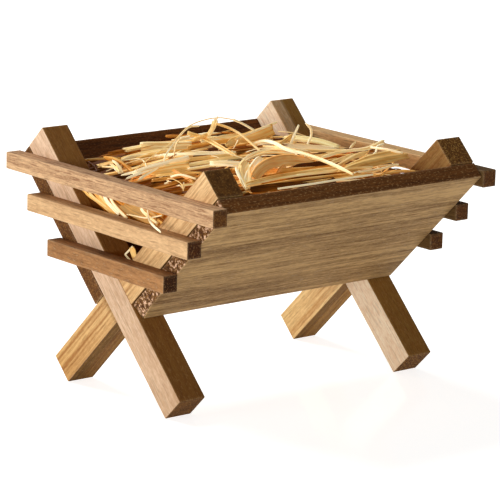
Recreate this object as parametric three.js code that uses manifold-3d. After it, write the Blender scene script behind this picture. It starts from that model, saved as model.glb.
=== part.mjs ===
// A small wooden manger: two end frames of crossed legs, two sloping side boards, three slats across
// each end, a bevelled floor strip and a loose fill of straw.
// Millimetres, +Z up. The origin is on the ground under the middle of the trough, X runs along the
// trough, and the front is the -Y side.
import * as THREE from "three";
import { mergeVertices } from "three/addons/utils/BufferGeometryUtils.js";
import Module from "manifold-3d";

const wasm = await Module();
wasm.setup();

// Driving dimensions of the woodwork
const TROUGH_LENGTH = 125; // over the outer faces of the end frames, and the length of the side boards
const LEG_STOCK = 12; // square stock of the four legs
const LEG_LEAN = 45; // degrees between each leg and the ground
const LEG_ABOVE_LAP = 75; // along a leg, from the middle of the half lap to its top end
const LEG_BELOW_LAP = 48.5; // along a leg, from the middle of the half lap to its foot
const BOARD_THICKNESS = 6.5;
const SLAT_STOCK = 6.5; // square stock of the six slats
const TOP_SLAT_DROP = 14.4; // from the leg tops down to the middle of the top slat
const MIDDLE_SLAT_RISE = 28.9; // from the half lap up to the middle of the slat
const BOTTOM_SLAT_RISE = 13.8;
const RIGHT_MIDDLE_SLAT_SLIP = 1.6; // the right end's lower slats were set a little lower by hand
const RIGHT_BOTTOM_SLAT_SLIP = 0.6;
const SLAT_OVERHANG = 11.6; // how far the top and middle slats reach past the legs' outer sides
const BOTTOM_SLAT_OVERHANG = 13.4;
const FLOOR_THICKNESS = 6;
const FLOOR_RISE = 1.5; // from the side boards' lower edges up to the underside of the floor strip
const SANDED_EDGE = 0.4; // width taken off each long edge of a piece
const GLUE_GAP = 0.3; // between faces that meet at a slope

// Driving dimensions of the straw
const STRAW_LEFT_ROOM = 1; // between the left end's slats and the fill
const STRAW_RIGHT_ROOM = 13; // between the right end's slats and the fill
const STRAW_BELOW_RIM = 2.3; // from the side boards' top edges down to the crown of the fill
const STRAW_ABOVE_FLOOR = 7; // from the floor strip up to the lowest level of the fill, under its middle
const STRAW_END_DROP = 4.5; // how far the fill's top falls from its crown to an end
const STRAW_SIDE_DROP = 2.2; // how far its top falls from its crown to a side
const STRAW_KEEL_RISE = 14; // how much higher its underside is at an end
const STRAW_LUMP = 0.7; // height of the small lumps
const STRAW_LUMP_PITCH = 9; // radius of their waves
const STRAW_GAP = 0.3; // between the straw and what it lies against
const STALK_THICKNESS = 1.3;
const BROAD_STALK = 5.3; // the four widths of flattened stalk
const COMMON_STALK = 4;
const NARROW_STALK = 3.3;
const THIN_STALK = 2.4;
const LAYER_GAP = 0.4; // between a stalk and the stalks that it crosses
const STALK_FLAT_SHARE = 0.6; // of a stalk's width that is flat
const MAT_STALK = 3.6; // width of the matted stalks, which lie half sunk in the fill's top
const MAT_THICKNESS = 2.4;
const MAT_LENGTH = 37;
const MAT_PITCH_ALONG = 33; // from the middle of one matted stalk to the next one's in its row
const MAT_PITCH_ACROSS = 6.2; // between the rows
const MAT_STAGGER = 4; // how far every second row is shifted along the trough, each way
const MAT_WANDER = 9; // degrees that a matted stalk turns from the trough's direction at most
const MAT_PROUD = 0.8; // how far the matted stalks stand out of the fill's surface
const MAT_UNEVEN = 0.45; // how much higher or lower than that some of them lie
const MAT_END_ROOM = 2.5; // between the matted stalks and the fill's ends
const MAT_SIDE_ROOM = 5; // between their outermost rows and the side boards

// How finely the straw is faceted
const FILL_STATIONS = 22; // along the fill
const FILL_STEPS = 16; // across the fill's top
const STALK_STEPS = 12; // along a stalk
const MAT_STEPS = 4; // along a matted stalk
const SHORE_TURNS = 6; // to find where the fill's top meets a side board
const WELD = 1e-4; // points closer than this are one point

// Worked out from the driving dimensions
const lean = THREE.MathUtils.degToRad(LEG_LEAN);
const tilt = Math.PI / 2 - lean; // how far each leg is turned from upright
const halfStock = LEG_STOCK / 2;
const frameMiddle = TROUGH_LENGTH / 2 - halfStock; // from the trough's middle to an end frame's middle
const lapHeight = LEG_BELOW_LAP * Math.sin(lean) + halfStock * Math.cos(lean);
const boardFace = halfStock + GLUE_GAP; // from a leg's middle line to the inner face of its side board
const boardWidth = LEG_ABOVE_LAP - boardFace;
const boardFoot = lapHeight + boardFace * (Math.sin(lean) - Math.cos(lean));
const rimHeight = lapHeight + LEG_ABOVE_LAP * Math.sin(lean) - boardFace * Math.cos(lean);
const legTop = lapHeight + LEG_ABOVE_LAP * Math.sin(lean) + halfStock * Math.cos(lean);
const floorTop = boardFoot + FLOOR_RISE + FLOOR_THICKNESS;
const strawCrown = rimHeight - STRAW_BELOW_RIM;
const strawKeel = floorTop + STRAW_ABOVE_FLOOR;
const strawClear = STRAW_GAP / Math.sin(lean); // the straw's gap to a side board, measured level
const FRONT = -1;
const BACK = 1;
const LEFT = -1;
const RIGHT = 1;

// Half the width of the trough at a height, measured to the side boards' inner faces
function troughHalfWidth(height) {
  return (boardFace + (height - lapHeight) * Math.cos(lean)) / Math.sin(lean);
}

const finishes = {
  leg: new THREE.MeshStandardMaterial({ color: 0x9c6e44, roughness: 0.72, metalness: 0 }),
  board: new THREE.MeshStandardMaterial({ color: 0x8a6a45, roughness: 0.75, metalness: 0 }),
  slat: new THREE.MeshStandardMaterial({ color: 0xa97a50, roughness: 0.74, metalness: 0 }),
  strawBed: new THREE.MeshStandardMaterial({ color: 0xc79b50, roughness: 0.8, metalness: 0 }),
  stalk: new THREE.MeshStandardMaterial({ color: 0xe6cd8c, roughness: 0.6, metalness: 0 }),
};

// Booleans

function toSolid(geometry, matrix = new THREE.Matrix4()) {
  const bare = geometry.clone().applyMatrix4(matrix);
  bare.deleteAttribute("normal");
  bare.deleteAttribute("uv");
  const merged = mergeVertices(bare, WELD);
  return new wasm.Manifold(
    new wasm.Mesh({
      numProp: 3,
      vertProperties: merged.attributes.position.array,
      triVerts: new Uint32Array(merged.index.array),
    }),
  );
}

function toGeometry(solid) {
  const mesh = solid.getMesh();
  const geometry = new THREE.BufferGeometry();
  geometry.setAttribute("position", new THREE.BufferAttribute(mesh.vertProperties, 3));
  geometry.setIndex(new THREE.BufferAttribute(mesh.triVerts, 1));
  geometry.computeVertexNormals();
  return geometry;
}

// Sawn stock

// A rectangular section with its corners taken off by the sanded edge
function sandedSection(width, height) {
  const w = width / 2;
  const h = height / 2;
  const ease = Math.min(SANDED_EDGE, w / 2, h / 2);
  return new THREE.Shape([
    new THREE.Vector2(ease - w, -h),
    new THREE.Vector2(w - ease, -h),
    new THREE.Vector2(w, ease - h),
    new THREE.Vector2(w, h - ease),
    new THREE.Vector2(w - ease, h),
    new THREE.Vector2(ease - w, h),
    new THREE.Vector2(-w, h - ease),
    new THREE.Vector2(-w, ease - h),
  ]);
}

// A straight stick that runs along Z, from one height to another
function stickUp(width, depth, from, to) {
  const geometry = new THREE.ExtrudeGeometry(sandedSection(width, depth), {
    depth: to - from,
    bevelEnabled: false,
  });
  return geometry.translate(0, 0, from);
}

// A section drawn in the Y-Z plane, run along X and centred on it
function runAlongX(shape, length) {
  const geometry = new THREE.ExtrudeGeometry(shape, { depth: length, bevelEnabled: false });
  geometry.translate(0, 0, -length / 2);
  return geometry.applyMatrix4(
    new THREE.Matrix4().makeBasis(
      new THREE.Vector3(0, 1, 0),
      new THREE.Vector3(0, 0, 1),
      new THREE.Vector3(1, 0, 0),
    ),
  );
}

function piece(name, geometry, finish) {
  const mesh = new THREE.Mesh(geometry, finish);
  mesh.name = name;
  return mesh;
}

// Legs

// The half lap takes half the stock out of each leg where the other one passes. The leg that rises to
// the back keeps its outer half, and the leg that rises to the front keeps its inner half.
function leg(name, end, side) {
  const stick = stickUp(LEG_STOCK, LEG_STOCK, -LEG_BELOW_LAP, LEG_ABOVE_LAP);
  const keepsOuterHalf = side === BACK;
  const cutSide = keepsOuterHalf ? -end : end;
  const cutter = new THREE.BoxGeometry(LEG_STOCK, LEG_STOCK + 2 * GLUE_GAP, LEG_ABOVE_LAP * 2);
  const place = new THREE.Matrix4()
    .makeRotationX(2 * side * tilt)
    .setPosition(cutSide * halfStock, 0, 0);
  const mesh = piece(name, toGeometry(toSolid(stick).subtract(toSolid(cutter, place))), finishes.leg);
  mesh.position.set(end * frameMiddle, 0, lapHeight);
  mesh.rotation.x = -side * tilt;
  return mesh;
}

// Side boards

// Each board lies on the outer side of the legs that rise to its side: its top edge is flush with their
// ends, and its lower edge sits on the other two legs.
function sideBoard(name, side) {
  const section = sandedSection(BOARD_THICKNESS, boardWidth);
  const mesh = piece(name, runAlongX(section, TROUGH_LENGTH), finishes.board);
  const turned = new THREE.Group();
  turned.position.z = lapHeight;
  turned.rotation.x = -side * tilt;
  mesh.position.y = side * (boardFace + BOARD_THICKNESS / 2);
  mesh.position.z = LEG_ABOVE_LAP - boardWidth / 2;
  turned.add(mesh);
  return turned;
}

// Slats

// How long a slat is that lies at a rise over the half lap and reaches past both legs
function slatLength(rise, overhang) {
  return 2 * (rise / Math.tan(lean) + halfStock / Math.sin(lean) + overhang);
}

function slat(name, end, length, rise) {
  const mesh = piece(name, stickUp(SLAT_STOCK, SLAT_STOCK, -length / 2, length / 2), finishes.slat);
  mesh.rotation.x = Math.PI / 2;
  mesh.position.set(end * (TROUGH_LENGTH / 2 + SLAT_STOCK / 2), 0, lapHeight + rise);
  return mesh;
}

function endSlats(label, end, middleSlip, bottomSlip) {
  const topRise = legTop - TOP_SLAT_DROP - lapHeight;
  const top = slatLength(topRise, SLAT_OVERHANG);
  const middle = slatLength(MIDDLE_SLAT_RISE, SLAT_OVERHANG);
  const bottom = slatLength(BOTTOM_SLAT_RISE, BOTTOM_SLAT_OVERHANG);
  return [
    slat(`${label}_top_slat`, end, top, topRise),
    slat(`${label}_middle_slat`, end, middle, MIDDLE_SLAT_RISE - middleSlip),
    slat(`${label}_bottom_slat`, end, bottom, BOTTOM_SLAT_RISE - bottomSlip),
  ];
}

// Floor strip

// Its bevelled edges rest on the side boards' inner faces, and its ends stop at the end frames.
function floorStrip() {
  const underside = floorTop - FLOOR_THICKNESS;
  const seat = GLUE_GAP / Math.sin(lean);
  const low = troughHalfWidth(underside) - seat;
  const high = troughHalfWidth(floorTop) - seat;
  const section = new THREE.Shape([
    new THREE.Vector2(-low, underside),
    new THREE.Vector2(low, underside),
    new THREE.Vector2(high, floorTop),
    new THREE.Vector2(-high, floorTop),
  ]);
  const length = 2 * (frameMiddle - halfStock - GLUE_GAP);
  return piece("floor_strip", runAlongX(section, length), finishes.board);
}

// Straw

// Two waves that cross at a slant. Each holds how fast it runs along X and along Y.
const LUMP_WAVES = [new THREE.Vector2(1, 0.7), new THREE.Vector2(-0.5, 0.9)];

// How fast the matted stalks' turn and lift run on from one to the next, in radians
const MAT_TURN_BEAT = 2.4;
const MAT_LIFT_BEAT = 1.7;

// The surface of the packed fill: a low crown that falls to the ends and sides, with small lumps
function strawSurface(x, y) {
  const along = x / (TROUGH_LENGTH / 2);
  const across = y / troughHalfWidth(strawCrown);
  const [first, second] = LUMP_WAVES.map((wave) => (wave.x * x + wave.y * y) / STRAW_LUMP_PITCH);
  const lumps = Math.sin(first) * Math.cos(second);
  return strawCrown - STRAW_END_DROP * along ** 2 - STRAW_SIDE_DROP * across ** 2 + STRAW_LUMP * lumps;
}

function strawUnderside(x) {
  return strawKeel + STRAW_KEEL_RISE * (x / (TROUGH_LENGTH / 2)) ** 2;
}

// A closed skin through rings of equal size, with a fan over each end
function skinRings(rings) {
  const size = rings[0].length;
  const points = rings.flat();
  const faces = [];
  for (let i = 0; i + 1 < rings.length; i++) {
    for (let j = 0; j < size; j++) {
      const a = i * size + j;
      const b = i * size + ((j + 1) % size);
      faces.push(a, b, b + size, a, b + size, a + size);
    }
  }
  const last = (rings.length - 1) * size;
  for (let j = 1; j + 1 < size; j++) {
    faces.push(0, j + 1, j);
    faces.push(last, last + j, last + j + 1);
  }
  const geometry = new THREE.BufferGeometry().setFromPoints(points);
  geometry.setIndex(faces);
  return geometry;
}

// Where the fill's surface meets a side board, closed in on by turns
function strawShore(x, side) {
  let y = side * troughHalfWidth(strawCrown);
  for (let i = 0; i < SHORE_TURNS; i++) {
    y = side * (troughHalfWidth(strawSurface(x, y)) - strawClear);
  }
  return y;
}

// One cross-section of the fill: along its underside, up the back board, over the lumpy top and down
function strawRing(x) {
  const low = strawUnderside(x);
  const foot = troughHalfWidth(low) - strawClear;
  const back = strawShore(x, BACK);
  const front = strawShore(x, FRONT);
  const ring = [new THREE.Vector3(x, -foot, low), new THREE.Vector3(x, foot, low)];
  for (let i = 0; i <= FILL_STEPS; i++) {
    const y = THREE.MathUtils.lerp(back, front, i / FILL_STEPS);
    ring.push(new THREE.Vector3(x, y, strawSurface(x, y)));
  }
  return ring;
}

// The legs' stock with the straw's clearance round it, which the fill is cut back from
function legRoom(end, side) {
  const room = LEG_STOCK + 2 * STRAW_GAP;
  const place = new THREE.Matrix4()
    .makeRotationX(-side * tilt)
    .setPosition(end * frameMiddle, 0, lapHeight);
  return toSolid(new THREE.BoxGeometry(room, room, 4 * LEG_ABOVE_LAP), place);
}

// The matted stalks, row by row. Sines of their number turn and lift them unevenly.
function mattedStalks(leftEnd, rightEnd) {
  const reach = (rightEnd - leftEnd) / 2 - MAT_END_ROOM - MAT_STAGGER - MAT_LENGTH / 2;
  const middle = (leftEnd + rightEnd) / 2;
  const along = Math.ceil((2 * reach) / MAT_PITCH_ALONG);
  const side = troughHalfWidth(strawCrown) - MAT_SIDE_ROOM;
  const across = Math.floor((2 * side) / MAT_PITCH_ACROSS);
  const stalks = [];
  for (let row = 0; row <= across; row++) {
    for (let i = 0; i <= along; i++) {
      const number = stalks.length;
      const shift = row % 2 === 0 ? -MAT_STAGGER : MAT_STAGGER;
      stalks.push({
        x: middle + THREE.MathUtils.lerp(-reach, reach, i / along) + shift,
        y: THREE.MathUtils.lerp(-side, side, row / across),
        length: MAT_LENGTH,
        heading: MAT_WANDER * Math.sin(MAT_TURN_BEAT * number),
        width: MAT_STALK,
        thickness: MAT_THICKNESS,
        bow: 0,
        over: MAT_PROUD - MAT_THICKNESS / 2 + MAT_UNEVEN * Math.sin(MAT_LIFT_BEAT * number),
      });
    }
  }
  return stalks;
}

// The room between the side boards from one end of the fill to the other, with the straw's clearance
function troughRoom(leftEnd, rightEnd) {
  const high = strawCrown + LEG_STOCK;
  const foot = troughHalfWidth(strawKeel) - strawClear;
  const shoulder = troughHalfWidth(high) - strawClear;
  const section = (x) => [
    new THREE.Vector3(x, -foot, strawKeel), new THREE.Vector3(x, foot, strawKeel),
    new THREE.Vector3(x, shoulder, high), new THREE.Vector3(x, -shoulder, high),
  ];
  return toSolid(skinRings([section(leftEnd), section(rightEnd)]));
}

// The fill with its matted stalks, cut back from the boards, the legs and the loose stalks, over which
// nothing matted lies. Crumbs that such a cut leaves loose are dropped.
function packedStraw(stalks) {
  const leftEnd = STRAW_LEFT_ROOM - TROUGH_LENGTH / 2;
  const rightEnd = TROUGH_LENGTH / 2 - STRAW_RIGHT_ROOM;
  const rings = [];
  for (let i = 0; i <= FILL_STATIONS; i++) {
    rings.push(strawRing(THREE.MathUtils.lerp(leftEnd, rightEnd, i / FILL_STATIONS)));
  }
  let fill = toSolid(skinRings(rings));
  for (const stalk of mattedStalks(leftEnd, rightEnd)) {
    fill = fill.add(toSolid(stalkSkin(stalk, 0, MAT_STEPS)));
  }
  fill = fill.intersect(troughRoom(leftEnd, rightEnd));
  for (const end of [LEFT, RIGHT]) {
    for (const side of [FRONT, BACK]) fill = fill.subtract(legRoom(end, side));
  }
  for (const stalk of stalks.map(looseStalk)) {
    for (const rise of [0, STALK_THICKNESS]) {
      const room = { ...stalk, over: stalk.over + rise };
      fill = fill.subtract(toSolid(stalkSkin(room, STRAW_GAP, STALK_STEPS)));
    }
  }
  const [bed] = fill.decompose().sort((a, b) => b.volume() - a.volume());
  return piece("straw_bed", toGeometry(bed), finishes.strawBed);
}

// The loose stalks that lie on the fill in layers. Those of one layer don't cross, and each higher layer
// rests on the one below. A place is a share of half the trough's length and of half its width at the
// fill, a heading is in degrees from the X axis, and a reach is a share of the trough's length. A bow is
// how far the stalk's middle is pushed aside, an arch how much higher its middle lies, and a climb how
// much higher its far end lies than its near end, each as a share of its own length.
const STALKS = [
  { layer: 0, place: [-0.22, -0.86], heading: -1, reach: 0.48, width: COMMON_STALK, bow: -0.02 },
  { layer: 0, place: [-0.13, -0.65], heading: -6, reach: 0.42, width: BROAD_STALK, bow: 0.03 },
  { layer: 0, place: [-0.61, -0.47], heading: 5, reach: 0.29, width: COMMON_STALK, bow: 0.03 },
  { layer: 0, place: [0.19, -0.46], heading: -2, reach: 0.38, width: COMMON_STALK, bow: -0.03 },
  { layer: 0, place: [-0.62, -0.24], heading: -3, reach: 0.34, width: NARROW_STALK, bow: -0.02 },
  { layer: 0, place: [0.13, -0.22], heading: 3, reach: 0.37, width: COMMON_STALK, bow: 0.02 },
  { layer: 0, place: [-0.59, 0.04], heading: 2, reach: 0.35, width: COMMON_STALK, bow: 0.03 },
  { layer: 0, place: [0.19, 0.05], heading: -2, reach: 0.37, width: NARROW_STALK, bow: -0.02 },
  { layer: 0, place: [-0.58, 0.3], heading: -3, reach: 0.32, width: NARROW_STALK, bow: -0.02 },
  { layer: 0, place: [0.26, 0.29], heading: 3, reach: 0.38, width: COMMON_STALK, bow: 0.02 },
  { layer: 0, place: [-0.48, 0.59], heading: 4, reach: 0.29, width: COMMON_STALK, bow: 0.03 },
  { layer: 0, place: [0.32, 0.54], heading: -3, reach: 0.35, width: COMMON_STALK, bow: -0.02 },
  { layer: 0, place: [-0.06, 0.78], heading: -3, reach: 0.35, width: BROAD_STALK, bow: 0.02 },
  { layer: 0, place: [0.58, -0.76], heading: 2, reach: 0.18, width: COMMON_STALK, bow: 0.02 },
  { layer: 1, place: [-0.22, 0.27], heading: -36, reach: 0.24, width: THIN_STALK, bow: -0.12 },
  { layer: 1, place: [0.46, -0.69], heading: 14, reach: 0.36, width: COMMON_STALK, bow: 0.02 },
  { layer: 1, place: [-0.04, -0.37], heading: -4, reach: 0.21, width: COMMON_STALK, bow: 0.24, arch: 0.02 },
  { layer: 1, place: [0.67, 0.22], heading: -62, reach: 0.18, width: NARROW_STALK, bow: 0.03 },
  { layer: 1, place: [0.32, 0.44], heading: 5, reach: 0.21, width: BROAD_STALK, bow: 0.02, climb: 0.11 },
  { layer: 1, place: [-0.7, -0.11], heading: 48, reach: 0.29, width: NARROW_STALK, bow: -0.06 },
  { layer: 0, place: [0.58, -0.33], heading: -2, reach: 0.25, width: THIN_STALK, bow: 0.02, climb: 0.13 },
  { layer: 0, place: [-0.46, -0.65], heading: 45, reach: 0.15, width: NARROW_STALK, bow: 0, climb: 0.26 },
  { layer: 2, place: [-0.64, 0.07], heading: 2, reach: 0.21, width: THIN_STALK, bow: 0 },
  { layer: 2, place: [-0.12, 0.25], heading: -79, reach: 0.19, width: THIN_STALK, bow: 0.14 },
  { layer: 2, place: [0.1, -0.45], heading: -91, reach: 0.46, width: THIN_STALK, bow: 0.01 },
  { layer: 1, place: [-0.32, -0.88], heading: -8, reach: 0.29, width: NARROW_STALK, bow: 0 },
  { layer: 1, place: [-0.17, -0.79], heading: -8, reach: 0.24, width: NARROW_STALK, bow: 0.01 },
  { layer: 1, place: [-0.13, -0.58], heading: -25, reach: 0.2, width: NARROW_STALK, bow: 0.01 },
  { layer: 2, place: [0.53, -0.61], heading: 15, reach: 0.29, width: THIN_STALK, bow: 0.02 },
  { layer: 0, place: [-0.37, 0.44], heading: -6, reach: 0.21, width: NARROW_STALK, bow: 0.02 },
  { layer: 1, place: [-0.745, 0.37], heading: -104, reach: 0.2, width: THIN_STALK, bow: 0.03 },
  { layer: 0, place: [0.83, 0.26], heading: -3, reach: 0.14, width: COMMON_STALK, bow: 0.02 },
  { layer: 0, place: [0.82, 0.06], heading: 3, reach: 0.14, width: COMMON_STALK, bow: -0.02 },
  { layer: 0, place: [0.83, -0.14], heading: -2, reach: 0.14, width: COMMON_STALK, bow: 0.02 },
  { layer: 0, place: [0.82, -0.36], heading: 4, reach: 0.14, width: COMMON_STALK, bow: 0.02 },
];

// A loose stalk in millimetres, resting on its layer
function looseStalk({ layer, place, heading, reach, width, bow, climb = 0, arch = 0 }) {
  return {
    x: (place[0] * TROUGH_LENGTH) / 2,
    y: place[1] * troughHalfWidth(strawCrown),
    length: reach * TROUGH_LENGTH,
    over: STALK_THICKNESS / 2 + STRAW_GAP + layer * (STALK_THICKNESS + LAYER_GAP),
    thickness: STALK_THICKNESS,
    heading, width, bow, climb, arch,
  };
}

// A stalk's route: along the fill's surface, and over it by its own height
function stalkRoute({ x: middleX, y: middleY, length, heading, bow, over, climb = 0, arch = 0 }) {
  const way = THREE.MathUtils.degToRad(heading);
  const points = [];
  for (const share of [-0.5, -0.25, 0, 0.25, 0.5]) {
    const along = share * length;
    const aside = bow * length * Math.cos(Math.PI * share);
    const x = middleX + along * Math.cos(way) - aside * Math.sin(way);
    const y = middleY + along * Math.sin(way) + aside * Math.cos(way);
    const lift = climb * (share + 0.5) + arch * Math.cos(Math.PI * share);
    points.push(new THREE.Vector3(x, y, strawSurface(x, y) + over + lift * length));
  }
  return new THREE.CatmullRomCurve3(points);
}

// A flattened stalk's skin: rings of six points along its route, level from side to side
function stalkSkin(stalk, grown, steps) {
  const across = stalk.width / 2 + grown;
  const thick = stalk.thickness / 2 + grown;
  const curve = stalkRoute(stalk);
  const flat = STALK_FLAT_SHARE;
  const outline = [[-1, 0], [-flat, -1], [flat, -1], [1, 0], [flat, 1], [-flat, 1]];
  const rings = [];
  for (let i = 0; i <= steps; i++) {
    const share = i / steps;
    const along = curve.getTangentAt(share);
    const aside = new THREE.Vector3(-along.y, along.x, 0).normalize();
    const over = new THREE.Vector3().crossVectors(along, aside);
    const longer = i === 0 ? -grown : i === steps ? grown : 0;
    const centre = curve.getPointAt(share).addScaledVector(along, longer);
    rings.push(
      outline.map(([a, b]) =>
        centre.clone().addScaledVector(aside, a * across).addScaledVector(over, b * thick),
      ),
    );
  }
  return skinRings(rings);
}

function strawStalk(stalk, index) {
  const number = String(index + 1).padStart(2, "0");
  return piece(`straw_stalk_${number}`, stalkSkin(looseStalk(stalk), 0, STALK_STEPS), finishes.stalk);
}

// The whole manger

const manger = new THREE.Group();
for (const [label, end] of [["left", LEFT], ["right", RIGHT]]) {
  manger.add(leg(`${label}_leg_rising_front`, end, FRONT));
  manger.add(leg(`${label}_leg_rising_back`, end, BACK));
}
manger.add(...endSlats("left", LEFT, 0, 0));
manger.add(...endSlats("right", RIGHT, RIGHT_MIDDLE_SLAT_SLIP, RIGHT_BOTTOM_SLAT_SLIP));
manger.add(sideBoard("front_side_board", FRONT));
manger.add(sideBoard("back_side_board", BACK));
manger.add(floorStrip());
manger.add(packedStraw(STALKS));
manger.add(...STALKS.map(strawStalk));

export default manger;
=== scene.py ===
"""A small wooden manger with a loose fill of straw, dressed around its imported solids.

Sizes are written in millimetres and turned into metres where a mesh is made. The origin is on the
ground under the middle of the trough, X runs along the trough, and the front is the -Y side.
"""

import logging
import math
from collections.abc import Callable, Sequence
from dataclasses import dataclass, field, replace
from enum import Enum, IntEnum
from typing import Any

import bpy
import numpy as np
from mathutils import Matrix, Vector, noise
from mathutils.bvhtree import BVHTree


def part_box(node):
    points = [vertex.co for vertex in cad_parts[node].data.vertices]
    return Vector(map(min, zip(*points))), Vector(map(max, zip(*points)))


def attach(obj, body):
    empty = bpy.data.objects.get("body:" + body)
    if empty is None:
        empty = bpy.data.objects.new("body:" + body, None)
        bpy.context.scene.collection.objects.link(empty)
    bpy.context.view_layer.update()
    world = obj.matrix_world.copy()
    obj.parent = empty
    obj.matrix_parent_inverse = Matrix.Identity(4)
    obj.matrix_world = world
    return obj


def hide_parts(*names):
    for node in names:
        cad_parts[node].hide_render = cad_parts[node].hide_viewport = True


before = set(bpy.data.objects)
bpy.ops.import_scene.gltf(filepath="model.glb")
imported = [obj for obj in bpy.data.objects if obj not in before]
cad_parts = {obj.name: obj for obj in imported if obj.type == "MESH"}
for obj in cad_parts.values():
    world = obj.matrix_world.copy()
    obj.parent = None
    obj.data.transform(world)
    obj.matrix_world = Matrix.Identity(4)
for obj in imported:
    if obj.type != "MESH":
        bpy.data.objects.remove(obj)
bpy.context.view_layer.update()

MM = 0.001  # In metres.
TINY = 1e-9  # Keeps a length off zero.
FAR = 1e9  # Beyond every height.
NOISE_MEAN = 0.5
Colour = tuple[float, float, float, float]
Point = tuple[float, float, float]
Pair = tuple[float, float]
log = logging.getLogger("manger")


def display(red: float, green: float, blue: float) -> Colour:
    """Turns a colour as a screen shows it into the shader's linear values.

    Args:
        red: From 0 to 255.
        green: From 0 to 255.
        blue: From 0 to 255.

    Returns:
        The linear colour, with full alpha.
    """

    def linear(value: float) -> float:
        """Undoes the screen's curve for one channel."""
        share = value / 255
        return share / 12.92 if share <= 0.04045 else ((share + 0.055) / 1.055) ** 2.4

    return linear(red), linear(green), linear(blue), 1.0


# Shader writing


class Wire:
    """An output of a node, which takes part in sums as a number does."""

    def __init__(self, sheet: "NodeSheet", socket: bpy.types.NodeSocket) -> None:
        """Keeps the node sheet and the socket on it."""
        self.sheet = sheet
        self.socket = socket

    def _sum(self, operation: str, first: Any, second: Any = 0.0) -> "Wire":
        """Adds one Math node to the sheet."""
        return self.sheet.node("ShaderNodeMath", {"operation": operation}, {0: first, 1: second})

    def __add__(self, other: Any) -> "Wire":
        """Wire plus value."""
        return self._sum("ADD", self, other)

    def __radd__(self, other: Any) -> "Wire":
        """Value plus wire."""
        return self._sum("ADD", other, self)

    def __sub__(self, other: Any) -> "Wire":
        """Wire minus value."""
        return self._sum("SUBTRACT", self, other)

    def __rsub__(self, other: Any) -> "Wire":
        """Value minus wire."""
        return self._sum("SUBTRACT", other, self)

    def __mul__(self, other: Any) -> "Wire":
        """Wire times value."""
        return self._sum("MULTIPLY", self, other)

    def __rmul__(self, other: Any) -> "Wire":
        """Value times wire."""
        return self._sum("MULTIPLY", other, self)

    def __pow__(self, other: Any) -> "Wire":
        """Wire to a power."""
        return self._sum("POWER", self, other)

    def sine(self) -> "Wire":
        """The sine of the wire."""
        return self._sum("SINE", self)

    def clipped(self) -> "Wire":
        """The wire held between 0 and 1."""
        return self._sum("MINIMUM", self._sum("MAXIMUM", self, 0.0), 1.0)


@dataclass(frozen=True)
class Grain:
    """One pattern of noise in a finish.

    Stretch is how many waves a millimetre holds along each axis, detail is how many finer layers the
    noise has, and rough is how strong they are.
    """

    stretch: Point
    detail: float = 2.0
    rough: float = 0.5


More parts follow.
